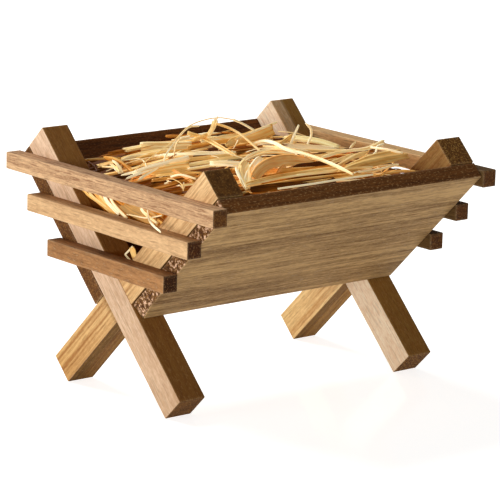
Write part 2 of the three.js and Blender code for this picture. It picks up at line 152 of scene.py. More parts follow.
class NodeSheet:
    """The node tree of a material or of the surroundings, written node by node."""

    def __init__(self, owner: bpy.types.Material | bpy.types.World) -> None:
        """Starts an empty tree.

        Args:
            owner: The material or world that the tree belongs to.
        """
        self.owner = owner
        self.owner.use_nodes = True
        self.tree = owner.node_tree
        self.tree.nodes.clear()

    def node(
        self,
        kind: str,
        settings: dict[str, Any] | None = None,
        inputs: dict[int | str, Any] | None = None,
        output: int | str = 0,
    ) -> Wire:
        """Adds one node.

        Args:
            kind: The node's type.
            settings: Its properties, set first. The key "stops" sets a ramp's stops.
            inputs: Values or wires for its sockets, by number or name.
            output: The socket that the wire comes from.

        Returns:
            The wire from that socket.
        """
        made = self.tree.nodes.new(kind)
        for key, value in (settings or {}).items():
            if key == "stops":
                self._set_stops(made.color_ramp, value)
            else:
                setattr(made, key, value)
        for key, value in (inputs or {}).items():
            if isinstance(value, Wire):
                self.tree.links.new(value.socket, made.inputs[key])
            else:
                made.inputs[key].default_value = value
        return Wire(self, made.outputs[output])

    @staticmethod
    def _set_stops(ramp: bpy.types.ColorRamp, stops: Sequence[tuple[float, Colour]]) -> None:
        """Replaces a ramp's two first stops with the given ones.

        Args:
            ramp: The ramp.
            stops: Each stop's position and colour.
        """
        for spare in list(ramp.elements)[1:]:
            ramp.elements.remove(spare)
        ramp.elements[0].position, ramp.elements[0].color = stops[0]
        for position, colour in stops[1:]:
            ramp.elements.new(position).color = colour

    def attribute(self, name: str, output: str = "Fac") -> Wire:
        """Reads an attribute of the mesh."""
        return self.node("ShaderNodeAttribute", {"attribute_name": name}, output=output)

    def stretched(self, place: Wire, stretch: Point) -> Wire:
        """Multiplies a place by three numbers."""
        return self.node("ShaderNodeVectorMath", {"operation": "MULTIPLY"}, {0: place, 1: stretch})

    def grain(self, place: Wire, grain: Grain) -> Wire:
        """Noise at a place.

        Args:
            place: The place in millimetres.
            grain: The noise's pattern.

        Returns:
            A wire from 0 to 1.
        """
        inputs = {
            "Vector": self.stretched(place, grain.stretch), "Scale": 1.0,
            "Detail": grain.detail, "Roughness": grain.rough,
        }
        return self.node("ShaderNodeTexNoise", {"noise_dimensions": "3D"}, inputs)

    def axis(self, place: Wire, name: str) -> Wire:
        """One coordinate of a place."""
        return self.node("ShaderNodeSeparateXYZ", None, {0: place}, name)

    def bump(self, height: Wire, strength: float, depth: float) -> Wire:
        """Turns a height into a normal. The depth is in millimetres."""
        inputs = {"Strength": strength, "Distance": depth * MM, "Height": height}
        return self.node("ShaderNodeBump", None, inputs)

    def band(self, value: Wire, low: float, high: float) -> Wire:
        """Runs from 0 at a low value to 1 at a high one, and holds there."""
        inputs = {"Value": value, "From Min": low, "From Max": high}
        return self.node("ShaderNodeMapRange", {"clamp": True}, inputs)

    def ramp(self, value: Wire, stops: Sequence[tuple[float, Colour]]) -> Wire:
        """Turns a value into a colour."""
        return self.node("ShaderNodeValToRGB", {"stops": stops}, {0: value})

    def blend(self, share: Any, first: Any, second: Any, mode: str = "MIX") -> Wire:
        """Mixes two colours.

        Args:
            share: How much of the second colour there is.
            first: A colour or a wire.
            second: A colour or a wire.
            mode: The mix's blend type.

        Returns:
            The mixed colour.
        """
        settings = {"data_type": "RGBA", "blend_type": mode}
        return self.node("ShaderNodeMix", settings, {0: share, 6: first, 7: second}, 2)

    def close(self, shader: Wire) -> bpy.types.Material | bpy.types.World:
        """Joins a shader to the tree's output.

        Args:
            shader: The finished shader.

        Returns:
            The tree's material or world.
        """
        kind = "World" if isinstance(self.owner, bpy.types.World) else "Material"
        end = self.tree.nodes.new(f"ShaderNodeOutput{kind}")
        self.tree.links.new(shader.socket, end.inputs["Surface"])
        return self.owner


# Finishes


@dataclass(frozen=True)
class WoodFinish:
    """Oiled open-pored hardwood. Its grain runs along the piece's own X axis.

    A share is how strongly a pattern shows, and a band gives the levels between which it fades in. The low
    end shade darkens the low end as painted shade. Faces marked for painted shade, which on sawn ends also
    stands for oil taken into the end grain, take the shade-with-oil colour; the edge shadow paints a shadow
    band along the low edge of such a face, and sapwood keeps a stretch of that edge pale. Torn splinters the
    sawn ends, with painted shade in the torn recesses and a painted highlight on the lit splinters. Spans,
    edges, sways and the relief's depth are in millimetres.
    """

    light: Colour = display(214, 170, 122)
    dark: Colour = display(150, 105, 66)
    pore: Colour = display(92, 58, 30)
    dust: Colour = display(236, 205, 160)
    end: Colour = display(132, 86, 32)
    end_pore: Colour = display(84, 50, 16)
    end_dust: Colour = display(196, 148, 80)
    # The colour that faces marked for painted shade are multiplied by; on sawn ends it also stands for oil.
    stained: Colour = (0.42, 0.26, 0.09, 1.0)
    # The low end's painted shade: the colour that the low end is multiplied by.
    foot: Colour = (1.0, 1.0, 1.0, 1.0)
    sap: Colour = (1.0, 0.84, 0.6, 1.0)
    # Splinters of a torn end, pale wood lit as a painted highlight.
    chip: Colour = display(250, 212, 180)
    # The dark of painted shade: the edge shadow band and the torn recesses.
    hollow: Colour = display(74, 42, 22)
    dots: Colour = display(186, 142, 92)

    mean_tone: float = 0.42
    ring_share: float = 0.22
    streak_share: float = 0.7
    fibre_share: float = 0.75
    zone_share: float = 0.35
    mottle_share: float = 0.2
    line_share: float = 0.0
    speck_share: float = 0.9
    pore_share: float = 0.55
    dust_share: float = 0.12
    worn_share: float = 0.3
    dot_share: float = 0.3
    end_dots: float = 0.5
    # A painted shadow band along the low edge of a face marked for painted shade.
    heart: float = 0.0
    sapwood: float = 0.0
    torn: float = 0.0

    fibre: Grain = Grain((0.05, 0.85, 0.85), 4.0, 0.7)
    lines: Grain = Grain((0.012, 0.75, 0.75))
    streak: Grain = Grain((0.012, 0.24, 0.24), 3.0, 0.55)
    zone: Grain = Grain((0.007, 0.085, 0.085))
    mottle: Grain = Grain((0.11, 0.32, 0.32), 2.0, 0.6)
    cells: Grain = Grain((0.15, 1.9, 1.9), 1.0, 0.4)
    specks: Grain = Grain((0.4, 1.3, 1.3), 3.0, 0.7)
    spots: Grain = Grain((0.8, 1.8, 1.8), 1.0)
    wander: Grain = Grain((0.011, 0.05, 0.05), 1.5)
    end_cells: Grain = Grain((0.3, 1.6, 1.6), 2.0, 0.6)
    end_patches: Grain = Grain((0.1, 0.5, 0.5), 3.0, 0.6)
    splinters: Grain = Grain((0.3, 0.6, 0.6), 3.0, 0.75)

    pore_band: Pair = (0.56, 0.66)
    dust_band: Pair = (0.58, 0.7)
    spot_band: Pair = (0.57, 0.66)
    worn_band: Pair = (0.35, 0.75)
    patch_band: Pair = (0.3, 0.75)
    end_dot_band: Pair = (0.52, 0.64)
    hollow_band: Pair = (0.5, 0.42)
    chip_band: Pair = (0.54, 0.6)

    foot_span: Pair = (45.0, -60.0)
    sap_span: Pair = (14.0, 34.0)
    heart_edge: Pair = (-0.4, -1.6)
    edge_sway: float = 6.0
    pith: Pair = (21.0, -34.0)
    ring_pitch: float = 2.4
    ring_sway: float = 9.0
    ring_fray: float = 2.5
    ring_sharpness: float = 2.0
    log_step: Point = (37.7, 11.3, 5.9)

    relief: float = 0.5
    relief_depth: float = 0.12
    fibre_height: float = 0.5
    pore_depth: float = 0.6
    speck_height: float = 0.25
    roughness: float = 0.7
    fibre_roughness: float = 0.22
    pore_roughness: float = 0.12
    specular: float = 0.2

    def material(self, name: str, seed: int) -> bpy.types.Material:
        """Writes the finish for one piece.

        Args:
            name: The piece's name.
            seed: Which part of the log the piece was sawn from.

        Returns:
            The material.
        """
        sheet = NodeSheet(bpy.data.materials.new(f"{name}_wood"))
        metres = sheet.node("ShaderNodeTexCoord", output="Object")
        own = sheet.stretched(metres, (1 / MM, 1 / MM, 1 / MM))
        shift = tuple(seed * step for step in self.log_step)
        place = sheet.node("ShaderNodeVectorMath", {"operation": "ADD"}, {0: own, 1: shift})
        along = sheet.axis(own, "X")
        fibre = sheet.grain(place, self.fibre)
        streak = sheet.grain(place, self.streak)
        specks = sheet.grain(place, self.specks)
        pores = sheet.band(sheet.grain(place, self.cells), *self.pore_band)

        tone = self.mean_tone + self.ring_share * (self._rings(sheet, own, place, fibre) - NOISE_MEAN)
        shares = (
            (self.streak_share, streak),
            (self.fibre_share, fibre),
            (self.zone_share, sheet.grain(place, self.zone)),
            (self.mottle_share, sheet.grain(place, self.mottle)),
            (self.line_share, sheet.grain(place, self.lines)),
            (self.speck_share, specks),
        )
        for share, pattern in shares:
            tone = tone + share * (pattern - NOISE_MEAN)
        colour = sheet.blend(tone.clipped(), self.light, self.dark)
        colour = sheet.blend(pores * self.pore_share, colour, self.pore)
        colour = sheet.blend(sheet.band(specks, *self.dust_band) * self.dust_share, colour, self.dust)
        # The low end darkened as painted shade.
        colour = sheet.blend(sheet.band(along, *self.foot_span), colour, self.foot, "MULTIPLY")
        colour = sheet.blend(sheet.attribute("end"), colour, self._end_grain(sheet, place))
        # Painted shade by face side, with oil on the sawn ends, and a painted shadow band along one edge.
        colour = self._oiled(sheet, colour, own, streak)
        spots = sheet.band(sheet.grain(place, self.spots), *self.spot_band)
        colour = sheet.blend(spots * sheet.attribute("stain") * self.dot_share, colour, self.dots)
        worn = sheet.attribute("arris") * sheet.band(specks, *self.worn_band)
        colour = sheet.blend(worn * self.worn_share, colour, self.dust)

        height = fibre * self.fibre_height - pores * self.pore_depth + specks * self.speck_height
        rough = self.roughness + self.fibre_roughness * (fibre - NOISE_MEAN) + self.pore_roughness * pores
        inputs = {
            "Base Color": colour, "Roughness": rough.clipped(),
            "Normal": sheet.bump(height, self.relief, self.relief_depth), "Specular IOR Level": self.specular,
        }
        return sheet.close(sheet.node("ShaderNodeBsdfPrincipled", None, inputs))

    def _oiled(self, sheet: NodeSheet, colour: Wire, own: Wire, streak: Wire) -> Wire:
        """Darkens each face by its painted shade, which on sawn ends also stands for oil, apart from the
        sapwood along its low edge, and paints a shadow band along that edge.

        Args:
            sheet: The material's nodes.
            colour: The wood's colour so far.
            own: The place in the piece, in millimetres.
            streak: The slow grain, which the edge of the sapwood follows.

        Returns:
            The shaded colour.
        """
        stain = sheet.attribute("stain")
        low_edge = sheet.band(sheet.axis(own, "Y") + (streak - NOISE_MEAN) * self.edge_sway, *self.heart_edge)
        bare = low_edge * sheet.band(sheet.axis(own, "X"), *self.sap_span) * self.sapwood
        colour = sheet.blend(stain * (1.0 - bare), colour, self.stained, "MULTIPLY")
        colour = sheet.blend(stain * bare, colour, self.sap, "MULTIPLY")
        return sheet.blend(stain * low_edge * self.heart, colour, self.hollow, "MULTIPLY")

    def _rings(self, sheet: NodeSheet, own: Wire, place: Wire, fibre: Wire) -> Wire:
        """Growth rings round a pith that lies outside the piece.

        Args:
            sheet: The material's nodes.
            own: The place in the piece, in millimetres.
            place: The place in the log.
            fibre: The fine grain, which frays the rings.

        Returns:
            A wire from 0 to 1.
        """
        sway = sheet.grain(place, self.wander) * self.ring_sway
        wide = sheet.axis(own, "Y") - self.pith[0] + sway
        deep = sheet.axis(own, "Z") - self.pith[1] + sway
        radius = (wide * wide + deep * deep) ** 0.5
        wave = (radius * (math.tau / self.ring_pitch) + fibre * self.ring_fray).sine()
        return (wave * 0.5 + 0.5) ** self.ring_sharpness

    def _end_grain(self, sheet: NodeSheet, place: Wire) -> Wire:
        """The colour of a sawn end: dark, with pale open pores, and splintered where it is torn, with painted
        shade in the torn recesses and a painted highlight on the lit splinters.

        Args:
            sheet: The material's nodes.
            place: The place in the log.

        Returns:
            The end's colour.
        """
        splinters = sheet.grain(place, self.splinters)
        dots = sheet.band(sheet.grain(place, self.end_cells), *self.end_dot_band)
        patches = sheet.band(sheet.grain(place, self.end_patches), *self.patch_band)
        colour = sheet.blend(patches, self.end, self.end_pore)
        colour = sheet.blend(dots * self.end_dots, colour, self.end_dust)
        # Painted shade in the torn recesses, and a painted highlight on the splinters.
        colour = sheet.blend(sheet.band(splinters, *self.hollow_band) * self.torn, colour, self.hollow)
        return sheet.blend(sheet.band(splinters, *self.chip_band) * self.torn, colour, self.chip)


@dataclass(frozen=True)
class StrawFinish:
    """Dry straw, from cream to brown, with fine ribs along each stalk.

    Light passes through real straw. A weak glow in its own colour stands in for that.
    """

    stops: tuple[tuple[float, Colour], ...] = (
        (0.0, display(255, 246, 218)),
        (0.25, display(255, 228, 164)),
        (0.5, display(246, 194, 104)),
        (0.7, display(222, 146, 54)),
        (0.86, display(156, 84, 14)),
        (1.0, display(84, 40, 4)),
    )
    glow_stops: tuple[tuple[float, Colour], ...] = (
        (0.0, (1.0, 0.82, 0.46, 1.0)),
        (0.3, (0.65, 0.41, 0.14, 1.0)),
        (0.6, (0.28, 0.12, 0.02, 1.0)),
        (0.85, (0.14, 0.05, 0.003, 1.0)),
        (1.0, (0.05, 0.016, 0.001, 1.0)),
    )
    rib: Colour = (0.62, 0.46, 0.26, 1.0)
    green: Colour = display(224, 208, 142)
    peach: Colour = display(246, 196, 140)

    ribs: Grain = Grain((0.03, 1.5, 1.0), 3.0, 0.65)
    blotch: Grain = Grain((0.09, 0.35, 1.0), 2.0, 0.6)
    fine: Grain = Grain((0.4, 5.0, 1.0), 2.0, 0.6)
    warmth: Grain = Grain((0.01, 0.02, 1.0))
    rib_band: Pair = (0.52, 0.7)
    glow_band: Pair = (0.5, 0.7)
    warm_band: Pair = (0.52, 0.72)

    blotch_share: float = 0.5
    rib_share: float = 0.7
    rib_shade: float = 0.65
    glow_shade: float = 0.6
    warm_share: float = 0.4
    glow: float = 0.34
    relief: float = 0.5
    relief_depth: float = 0.15
    rib_height: float = 0.7
    fine_height: float = 0.3
    roughness: float = 0.42
    fine_roughness: float = 0.3
    specular: float = 0.15

    def material(self, name: str) -> bpy.types.Material:
        """Writes the finish.

        Args:
            name: The material's name.

        Returns:
            The material.
        """
        sheet = NodeSheet(bpy.data.materials.new(name))
        lay = sheet.attribute("lay", "Vector")
        ribs, fine = sheet.grain(lay, self.ribs), sheet.grain(lay, self.fine)
        tone = sheet.attribute("tone") + (sheet.grain(lay, self.blotch) - NOISE_MEAN) * self.blotch_share
        tone = (tone + (ribs - NOISE_MEAN) * self.rib_share).clipped()
        tint = sheet.attribute("tint")

        warmth = sheet.band(sheet.grain(lay, self.warmth), *self.warm_band) * self.warm_share
        colour = sheet.blend(warmth, sheet.ramp(tone, self.stops), self.peach, "MULTIPLY")
        colour = sheet.blend(sheet.band(ribs, *self.rib_band) * self.rib_shade, colour, self.rib, "MULTIPLY")
        colour = sheet.blend(tint.clipped(), colour, self.green)
        colour = sheet.blend((0.0 - tint).clipped(), colour, self.peach, "MULTIPLY")
        shade = sheet.band(ribs, *self.glow_band) * self.glow_shade
        glow = sheet.blend(shade, sheet.ramp(tone, self.glow_stops), self.rib, "MULTIPLY")

        height = ribs * self.rib_height + fine * self.fine_height
        rough = self.roughness + (fine - NOISE_MEAN) * self.fine_roughness
        inputs = {
            "Base Color": colour, "Roughness": rough.clipped(), "Specular IOR Level": self.specular,
            "Normal": sheet.bump(height, self.relief, self.relief_depth),
            "Emission Color": glow, "Emission Strength": self.glow,
        }
        return sheet.close(sheet.node("ShaderNodeBsdfPrincipled", None, inputs))


# Pieces in the scene


def add_object(name: str, data: bpy.types.ID) -> bpy.types.Object:
    """Puts a mesh, a camera or a lamp in the scene.

    Args:
        name: The object's name.
        data: The mesh, camera or lamp.

    Returns:
        The new object.
    """
    made = bpy.data.objects.new(name, data)
    bpy.context.scene.collection.objects.link(made)
    return made


def dress(piece: bpy.types.Object, nodes: Sequence[str], body: str) -> None:
    """Lets a piece ride on a body and stand for some nodes.

    Args:
        piece: The piece.
        nodes: The nodes that it stands for, or none.
        body: The body that it rides on.
    """
    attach(piece, body)
    if nodes:
        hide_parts(*nodes)
    stands_for = ", ".join(nodes) or "no node"
    log.info("%s, %d faces, stands for %s", piece.name, len(piece.data.polygons), stands_for)


# Sawn stock


class Side(IntEnum):
    """The faces of a piece in its own axes. Its grain runs along X."""

    END_LOW = 0
    END_HIGH = 1
    Y_LOW = 2
    Y_HIGH = 3
    Z_LOW = 4
    Z_HIGH = 5


ARRIS_MIDDLE = 0.586  # 1 - tan(22.5 degrees), which spaces the points of a rounded arris evenly.


@dataclass
class SawnPiece:
    """A sawn piece of stock: fine faces, eased arrises, and a slight wave from the saw.

    The painted top shadow says how far from the high end a cast shadow is painted on the faces, and how
    dark it is there. A rate is how fast the noise that forms the faces changes along each axis.
    """

    name: str
    size: Point
    place: Matrix
    finish: WoodFinish
    seed: int
    stains: dict[Side, float] = field(default_factory=dict)
    soaked: Pair = (0.0, 0.0)
    pitch: Point = (2.5, 1.5, 1.5)
    extra_cuts: tuple[float, ...] = ()
    ease: float = 0.45
    beside_ease: float = 0.6
    wave: float = 0.07
    wave_rate: Point = (0.05, 0.12, 0.12)
    wear: float = 0.16
    wear_rate: Point = (0.35, 0.5, 0.5)
    wear_level: float = 0.15
    wear_reach: float = 0.3
    seed_step: Point = (3.1, 1.7, 0.0)
    shape: Callable[[np.ndarray], np.ndarray] | None = None

    def build(self) -> bpy.types.Object:
        """Makes the piece's mesh, gives it its wood and puts it in place.

        Returns:
            The new object.
        """
        cuts = [self._cuts(axis) for axis in range(3)]
        points, faces, sides = self._grid(cuts)
        half = np.array(self.size) / 2
        near_arris = self._near_arris(points, half)
        points = self._rounded(points, half)
        points = self._weathered(points, near_arris)
        if self.shape:
            points = self.shape(points)
        mesh = bpy.data.meshes.new(self.name)
        mesh.from_pydata((points * MM).tolist(), [], faces)
        mesh.polygons.foreach_set("use_smooth", [True] * len(faces))
        # How much painted shade each face takes, by its side; on sawn ends it also stands for oil.
        self._mark(mesh, "stain", "FACE", self._stained(points, faces, sides))
        self._mark(mesh, "end", "FACE", [float(s in (Side.END_LOW, Side.END_HIGH)) for s in sides])
        self._mark(mesh, "arris", "POINT", near_arris.tolist())
        mesh.validate()
        mesh.materials.append(self.finish.material(self.name, self.seed))
        piece = add_object(self.name, mesh)
        piece.matrix_world = self.place
        return piece

    def _cuts(self, axis: int) -> list[float]:
        """The grid lines across one axis: close at the arrises, then evenly spaced.

        Args:
            axis: 0, 1 or 2.

        Returns:
            The lines' places, from low to high.
        """
        half = self.size[axis] / 2
        near = [0.0, ARRIS_MIDDLE * self.ease, self.ease, self.ease + self.beside_ease]
        inner = half - near[-1]
        count = max(1, round(2 * inner / self.pitch[axis]))
        lines = [-half + n for n in near[:-1]] + list(np.linspace(-inner, inner, count + 1))
        lines += [half - n for n in reversed(near[:-1])]
        if axis == 0:
            lines += self.extra_cuts
        return sorted(lines)

    @staticmethod
    def _grid(cuts: list[list[float]]) -> tuple[np.ndarray, list[list[int]], list[int]]:
        """A box's surface as a grid of quads.

        Args:
            cuts: The grid lines across each axis.

        Returns:
            The points, the faces, and the side that each face lies on.
        """
        index: dict[Point, int] = {}
        faces, sides = [], []
        for axis in range(3):
            across, up = (axis + 1) % 3, (axis + 2) % 3
            for far in (0, 1):
                level = cuts[axis][-far]
                for i in range(len(cuts[across]) - 1):
                    for j in range(len(cuts[up]) - 1):
                        corners = []
                        for p, q in ((i, j), (i + 1, j), (i + 1, j + 1), (i, j + 1)):
                            point = [0.0, 0.0, 0.0]
                            point[axis], point[across], point[up] = level, cuts[across][p], cuts[up][q]
                            corners.append(index.setdefault(tuple(point), len(index)))
                        faces.append(corners if far else corners[::-1])
                        sides.append(2 * axis + far)
        return np.array(list(index)), faces, sides

    def _near_arris(self, points: np.ndarray, half: np.ndarray) -> np.ndarray:
        """1 on the piece's arrises, and 0 on its faces."""
        close = np.sort(half - np.abs(points), axis=1)[:, 1]
        return np.clip(1 - close / (self.ease + self.wear_reach), 0, 1)

    def _rounded(self, points: np.ndarray, half: np.ndarray) -> np.ndarray:
        """Rounds the box's arrises and corners.

        Args:
            points: The piece's points.
            half: Half the box's size.

        Returns:
            The rounded points.
        """
        core = np.clip(points, -(half - self.ease), half - self.ease)
        out = points - core
        length = np.maximum(np.linalg.norm(out, axis=1, keepdims=True), TINY)
        return core + out / length * self.ease

    def _weathered(self, points: np.ndarray, near_arris: np.ndarray) -> np.ndarray:
        """Waves the faces a little and wears the arrises unevenly.

        Args:
            points: The piece's points.
            near_arris: How close each point is to an arris, from 0 to 1.

        Returns:
            The worn points.
        """
        shift = Vector([self.seed * step for step in self.seed_step])
        inward = -points / np.maximum(np.abs(points).max(axis=1, keepdims=True), TINY)
        inward[:, 0] = 0.0
        moved = points.copy()
        for i, point in enumerate(points):
            slow = noise.noise(Vector(point * self.wave_rate) + shift)
            quick = noise.noise(Vector(point * self.wear_rate) + shift)
            bite = self.wear * near_arris[i] * max(0.0, quick + self.wear_level)
            moved[i] += inward[i] * (bite + self.wave * slow)
        return moved

    def _stained(self, points: np.ndarray, faces: list[list[int]], sides: list[int]) -> list[float]:
        """How dark each face is painted: by its side, as shade and on sawn ends as oil, and darker near the
        high end where a cast shadow is painted.

        Args:
            points: The piece's points.
            faces: Each face's points.
            sides: The side that each face lies on.

        Returns:
            A number from 0 to 1 for each face.
        """
        reach, share = self.soaked
        stained = []
        for face, side in zip(faces, sides):
            stain = self.stains.get(Side(side), 0.0)
            # Near the high end, a painted cast shadow.
            if reach and side != Side.END_HIGH and points[face, 0].mean() > self.size[0] / 2 - reach:
                stain = max(stain, share)
            stained.append(stain)
        return stained

    @staticmethod
    def _mark(mesh: bpy.types.Mesh, name: str, domain: str, values: list[float]) -> None:
        """Adds one number for each point or face of a mesh."""
        mesh.attributes.new(name, "FLOAT", domain).data.foreach_set("value", values)


@dataclass(frozen=True)
class Woodwork:
    """The manger's driving sizes, which all its wooden pieces share. The lean is in radians."""

    trough_length: float = 125.0
    leg_stock: float = 12.0
    leg_above_lap: float = 75.0
    leg_below_lap: float = 48.5
    board_thickness: float = 6.5
    slat_stock: float = 6.5
    glue_gap: float = 0.3
    lean: float = math.radians(45)

    @property
    def lap_height(self) -> float:
        """How high the middle of the half laps is."""
        return self.leg_below_lap * math.sin(self.lean) + self.leg_stock / 2 * math.cos(self.lean)

    @property
    def frame_middle(self) -> float:
        """How far an end frame's middle is from the trough's middle."""
        return self.trough_length / 2 - self.leg_stock / 2

    @property
    def board_face(self) -> float:
        """How far a side board's inner face is from its legs' middle line."""
        return self.leg_stock / 2 + self.glue_gap

    def half_width(self, height: float) -> float:
        """Half the trough's inner width at a height."""
        rise = (height - self.lap_height) * math.cos(self.lean)
        return (self.board_face + rise) / math.sin(self.lean)


def placed(along: Point, across: Point, origin: Point) -> Matrix:
    """A matrix from a piece's own axes.

    Args:
        along: Where its X axis points.
        across: Where its Y axis points.
        origin: Where its middle is, in millimetres.

    Returns:
        The matrix, in metres.
    """
    x, y = Vector(along).normalized(), Vector(across).normalized()
    turned = Matrix((x, y, x.cross(y))).transposed().to_4x4()
    return Matrix.Translation(Vector(origin) * MM) @ turned


class End(IntEnum):
    """The trough's two ends, by their direction along X."""

    LEFT = -1
    RIGHT = 1


class Way(IntEnum):
    """The two ways across the trough, by their direction along Y."""

    FRONT = -1
    BACK = 1


@dataclass
class Legs:
    """The four crossed legs, half lapped in pairs.

    The top shadow run says how far down from its top the right front leg takes a painted shadow, cast by
    the left front leg in the light from the left, and how dark it is.
    """

    wood: Woodwork
    body: str = "manger"
    slot: str = "leg_wood"
    smooth_seed: int = 3
    lined_seed: int = 8
    overcut: float = 0.02
    oil_run: Pair = (22.0, 0.8)

    def build(self) -> None:
        """Makes all four legs."""
        for end in End:
            label = end.name.lower()
            smooth, lined = self._finishes(end)
            self._leg(f"{label}_leg_rising_back", end, Way.BACK, smooth, self.smooth_seed + end)
            self._leg(f"{label}_leg_rising_front", end, Way.FRONT, lined, self.lined_seed + end)

    @staticmethod
    def _finishes(end: End) -> tuple[WoodFinish, WoodFinish]:
        """The woods of one end frame.

        Args:
            end: Which end.

        Returns:
            The smooth wood of the leg that rises to the back, and the lined wood of the other.
        """
        # The legs darken toward the floor as painted shade, and the faces turned from the light take painted
        # shade.
        smooth = WoodFinish(
            light=display(242, 212, 182), dark=display(198, 156, 120), pore_share=0.2, fibre_share=1.1,
            ring_share=0.08, streak_share=0.6, speck_share=1.7, dust_share=0.35, mottle_share=0.4,
            foot=(0.74, 0.7, 0.64, 1.0), stained=(0.46, 0.3, 0.1, 1.0), end_dots=0.55,
        )
        lined = WoodFinish(
            light=display(244, 206, 152), dark=display(184, 132, 80), pore_share=0.25, fibre_share=0.8,
            line_share=2.4, streak_share=0.4, speck_share=1.2, ring_pitch=1.7, heart=0.45,
            foot=(0.7, 0.61, 0.43, 1.0), stained=(0.4, 0.3, 0.032, 1.0), end_dots=0.4,
        )
        if end is End.LEFT:
            return smooth, lined
        smooth = replace(
            smooth, light=display(255, 240, 214), dark=display(226, 184, 144), foot=(0.88, 0.84, 0.8, 1.0),
            stained=(0.4, 0.25, 0.07, 1.0), sapwood=0.8, end_dots=0.85,
        )
        lined = replace(
            lined, light=display(255, 220, 166), dark=display(206, 152, 96), foot=(0.76, 0.74, 0.62, 1.0),
            stained=(0.39, 0.25, 0.03, 1.0), end_dots=0.85,
        )
        return smooth, lined

    def _leg(self, node: str, end: End, way: Way, finish: WoodFinish, seed: int) -> None:
        """Makes one leg.

        Args:
            node: The node that it stands for.
            end: The end that it is at.
            way: The side that it rises to.
            finish: Its wood.
            seed: Where its wood was sawn.
        """
        wood = self.wood
        stock = wood.leg_stock
        length = wood.leg_above_lap + wood.leg_below_lap
        along = (0.0, way * math.cos(wood.lean), math.sin(wood.lean))
        middle = (wood.leg_above_lap - wood.leg_below_lap) / 2
        origin = (end * wood.frame_middle, along[1] * middle, wood.lap_height + along[2] * middle)
        reach = stock / 2 + wood.glue_gap
        cut_side = -end * way

        def halve(points: np.ndarray) -> np.ndarray:
            """Takes half the stock out where the other leg passes.

            Args:
                points: The piece's points.

            Returns:
                The same points, moved.
            """
            inside = np.abs(points[:, 0] + middle) <= reach + TINY
            held = points[inside, 1] * cut_side
            points[inside, 1] = np.minimum(held, 0.0) * cut_side
            return points

        lap_ends = tuple(-middle + hand * (reach + more) for hand in (-1, 1) for more in (0.0, self.overcut))
        # Painted shade by side: most on the face turned up to the front and on the one turned down to the
        # front; the ends also take it as oil.
        stains = {
            Side.Z_LOW: 1.0 if way is Way.BACK else 0.85, Side.Z_HIGH: 0.3, Side.END_LOW: 0.2,
            Side.END_HIGH: 0.0 if end is End.RIGHT else 0.2,
        }
        # A painted shadow down the top of the right front leg, cast by the left front leg.
        top_shadow = self.oil_run if (end, way) == (End.RIGHT, Way.FRONT) else (0.0, 0.0)
        piece = SawnPiece(
            f"{node}_sawn", (length, stock, stock), placed(along, (1.0, 0.0, 0.0), origin), finish, seed,
            stains, soaked=top_shadow, extra_cuts=lap_ends, shape=halve,
        ).build()
        dress(piece, (node,), self.body)


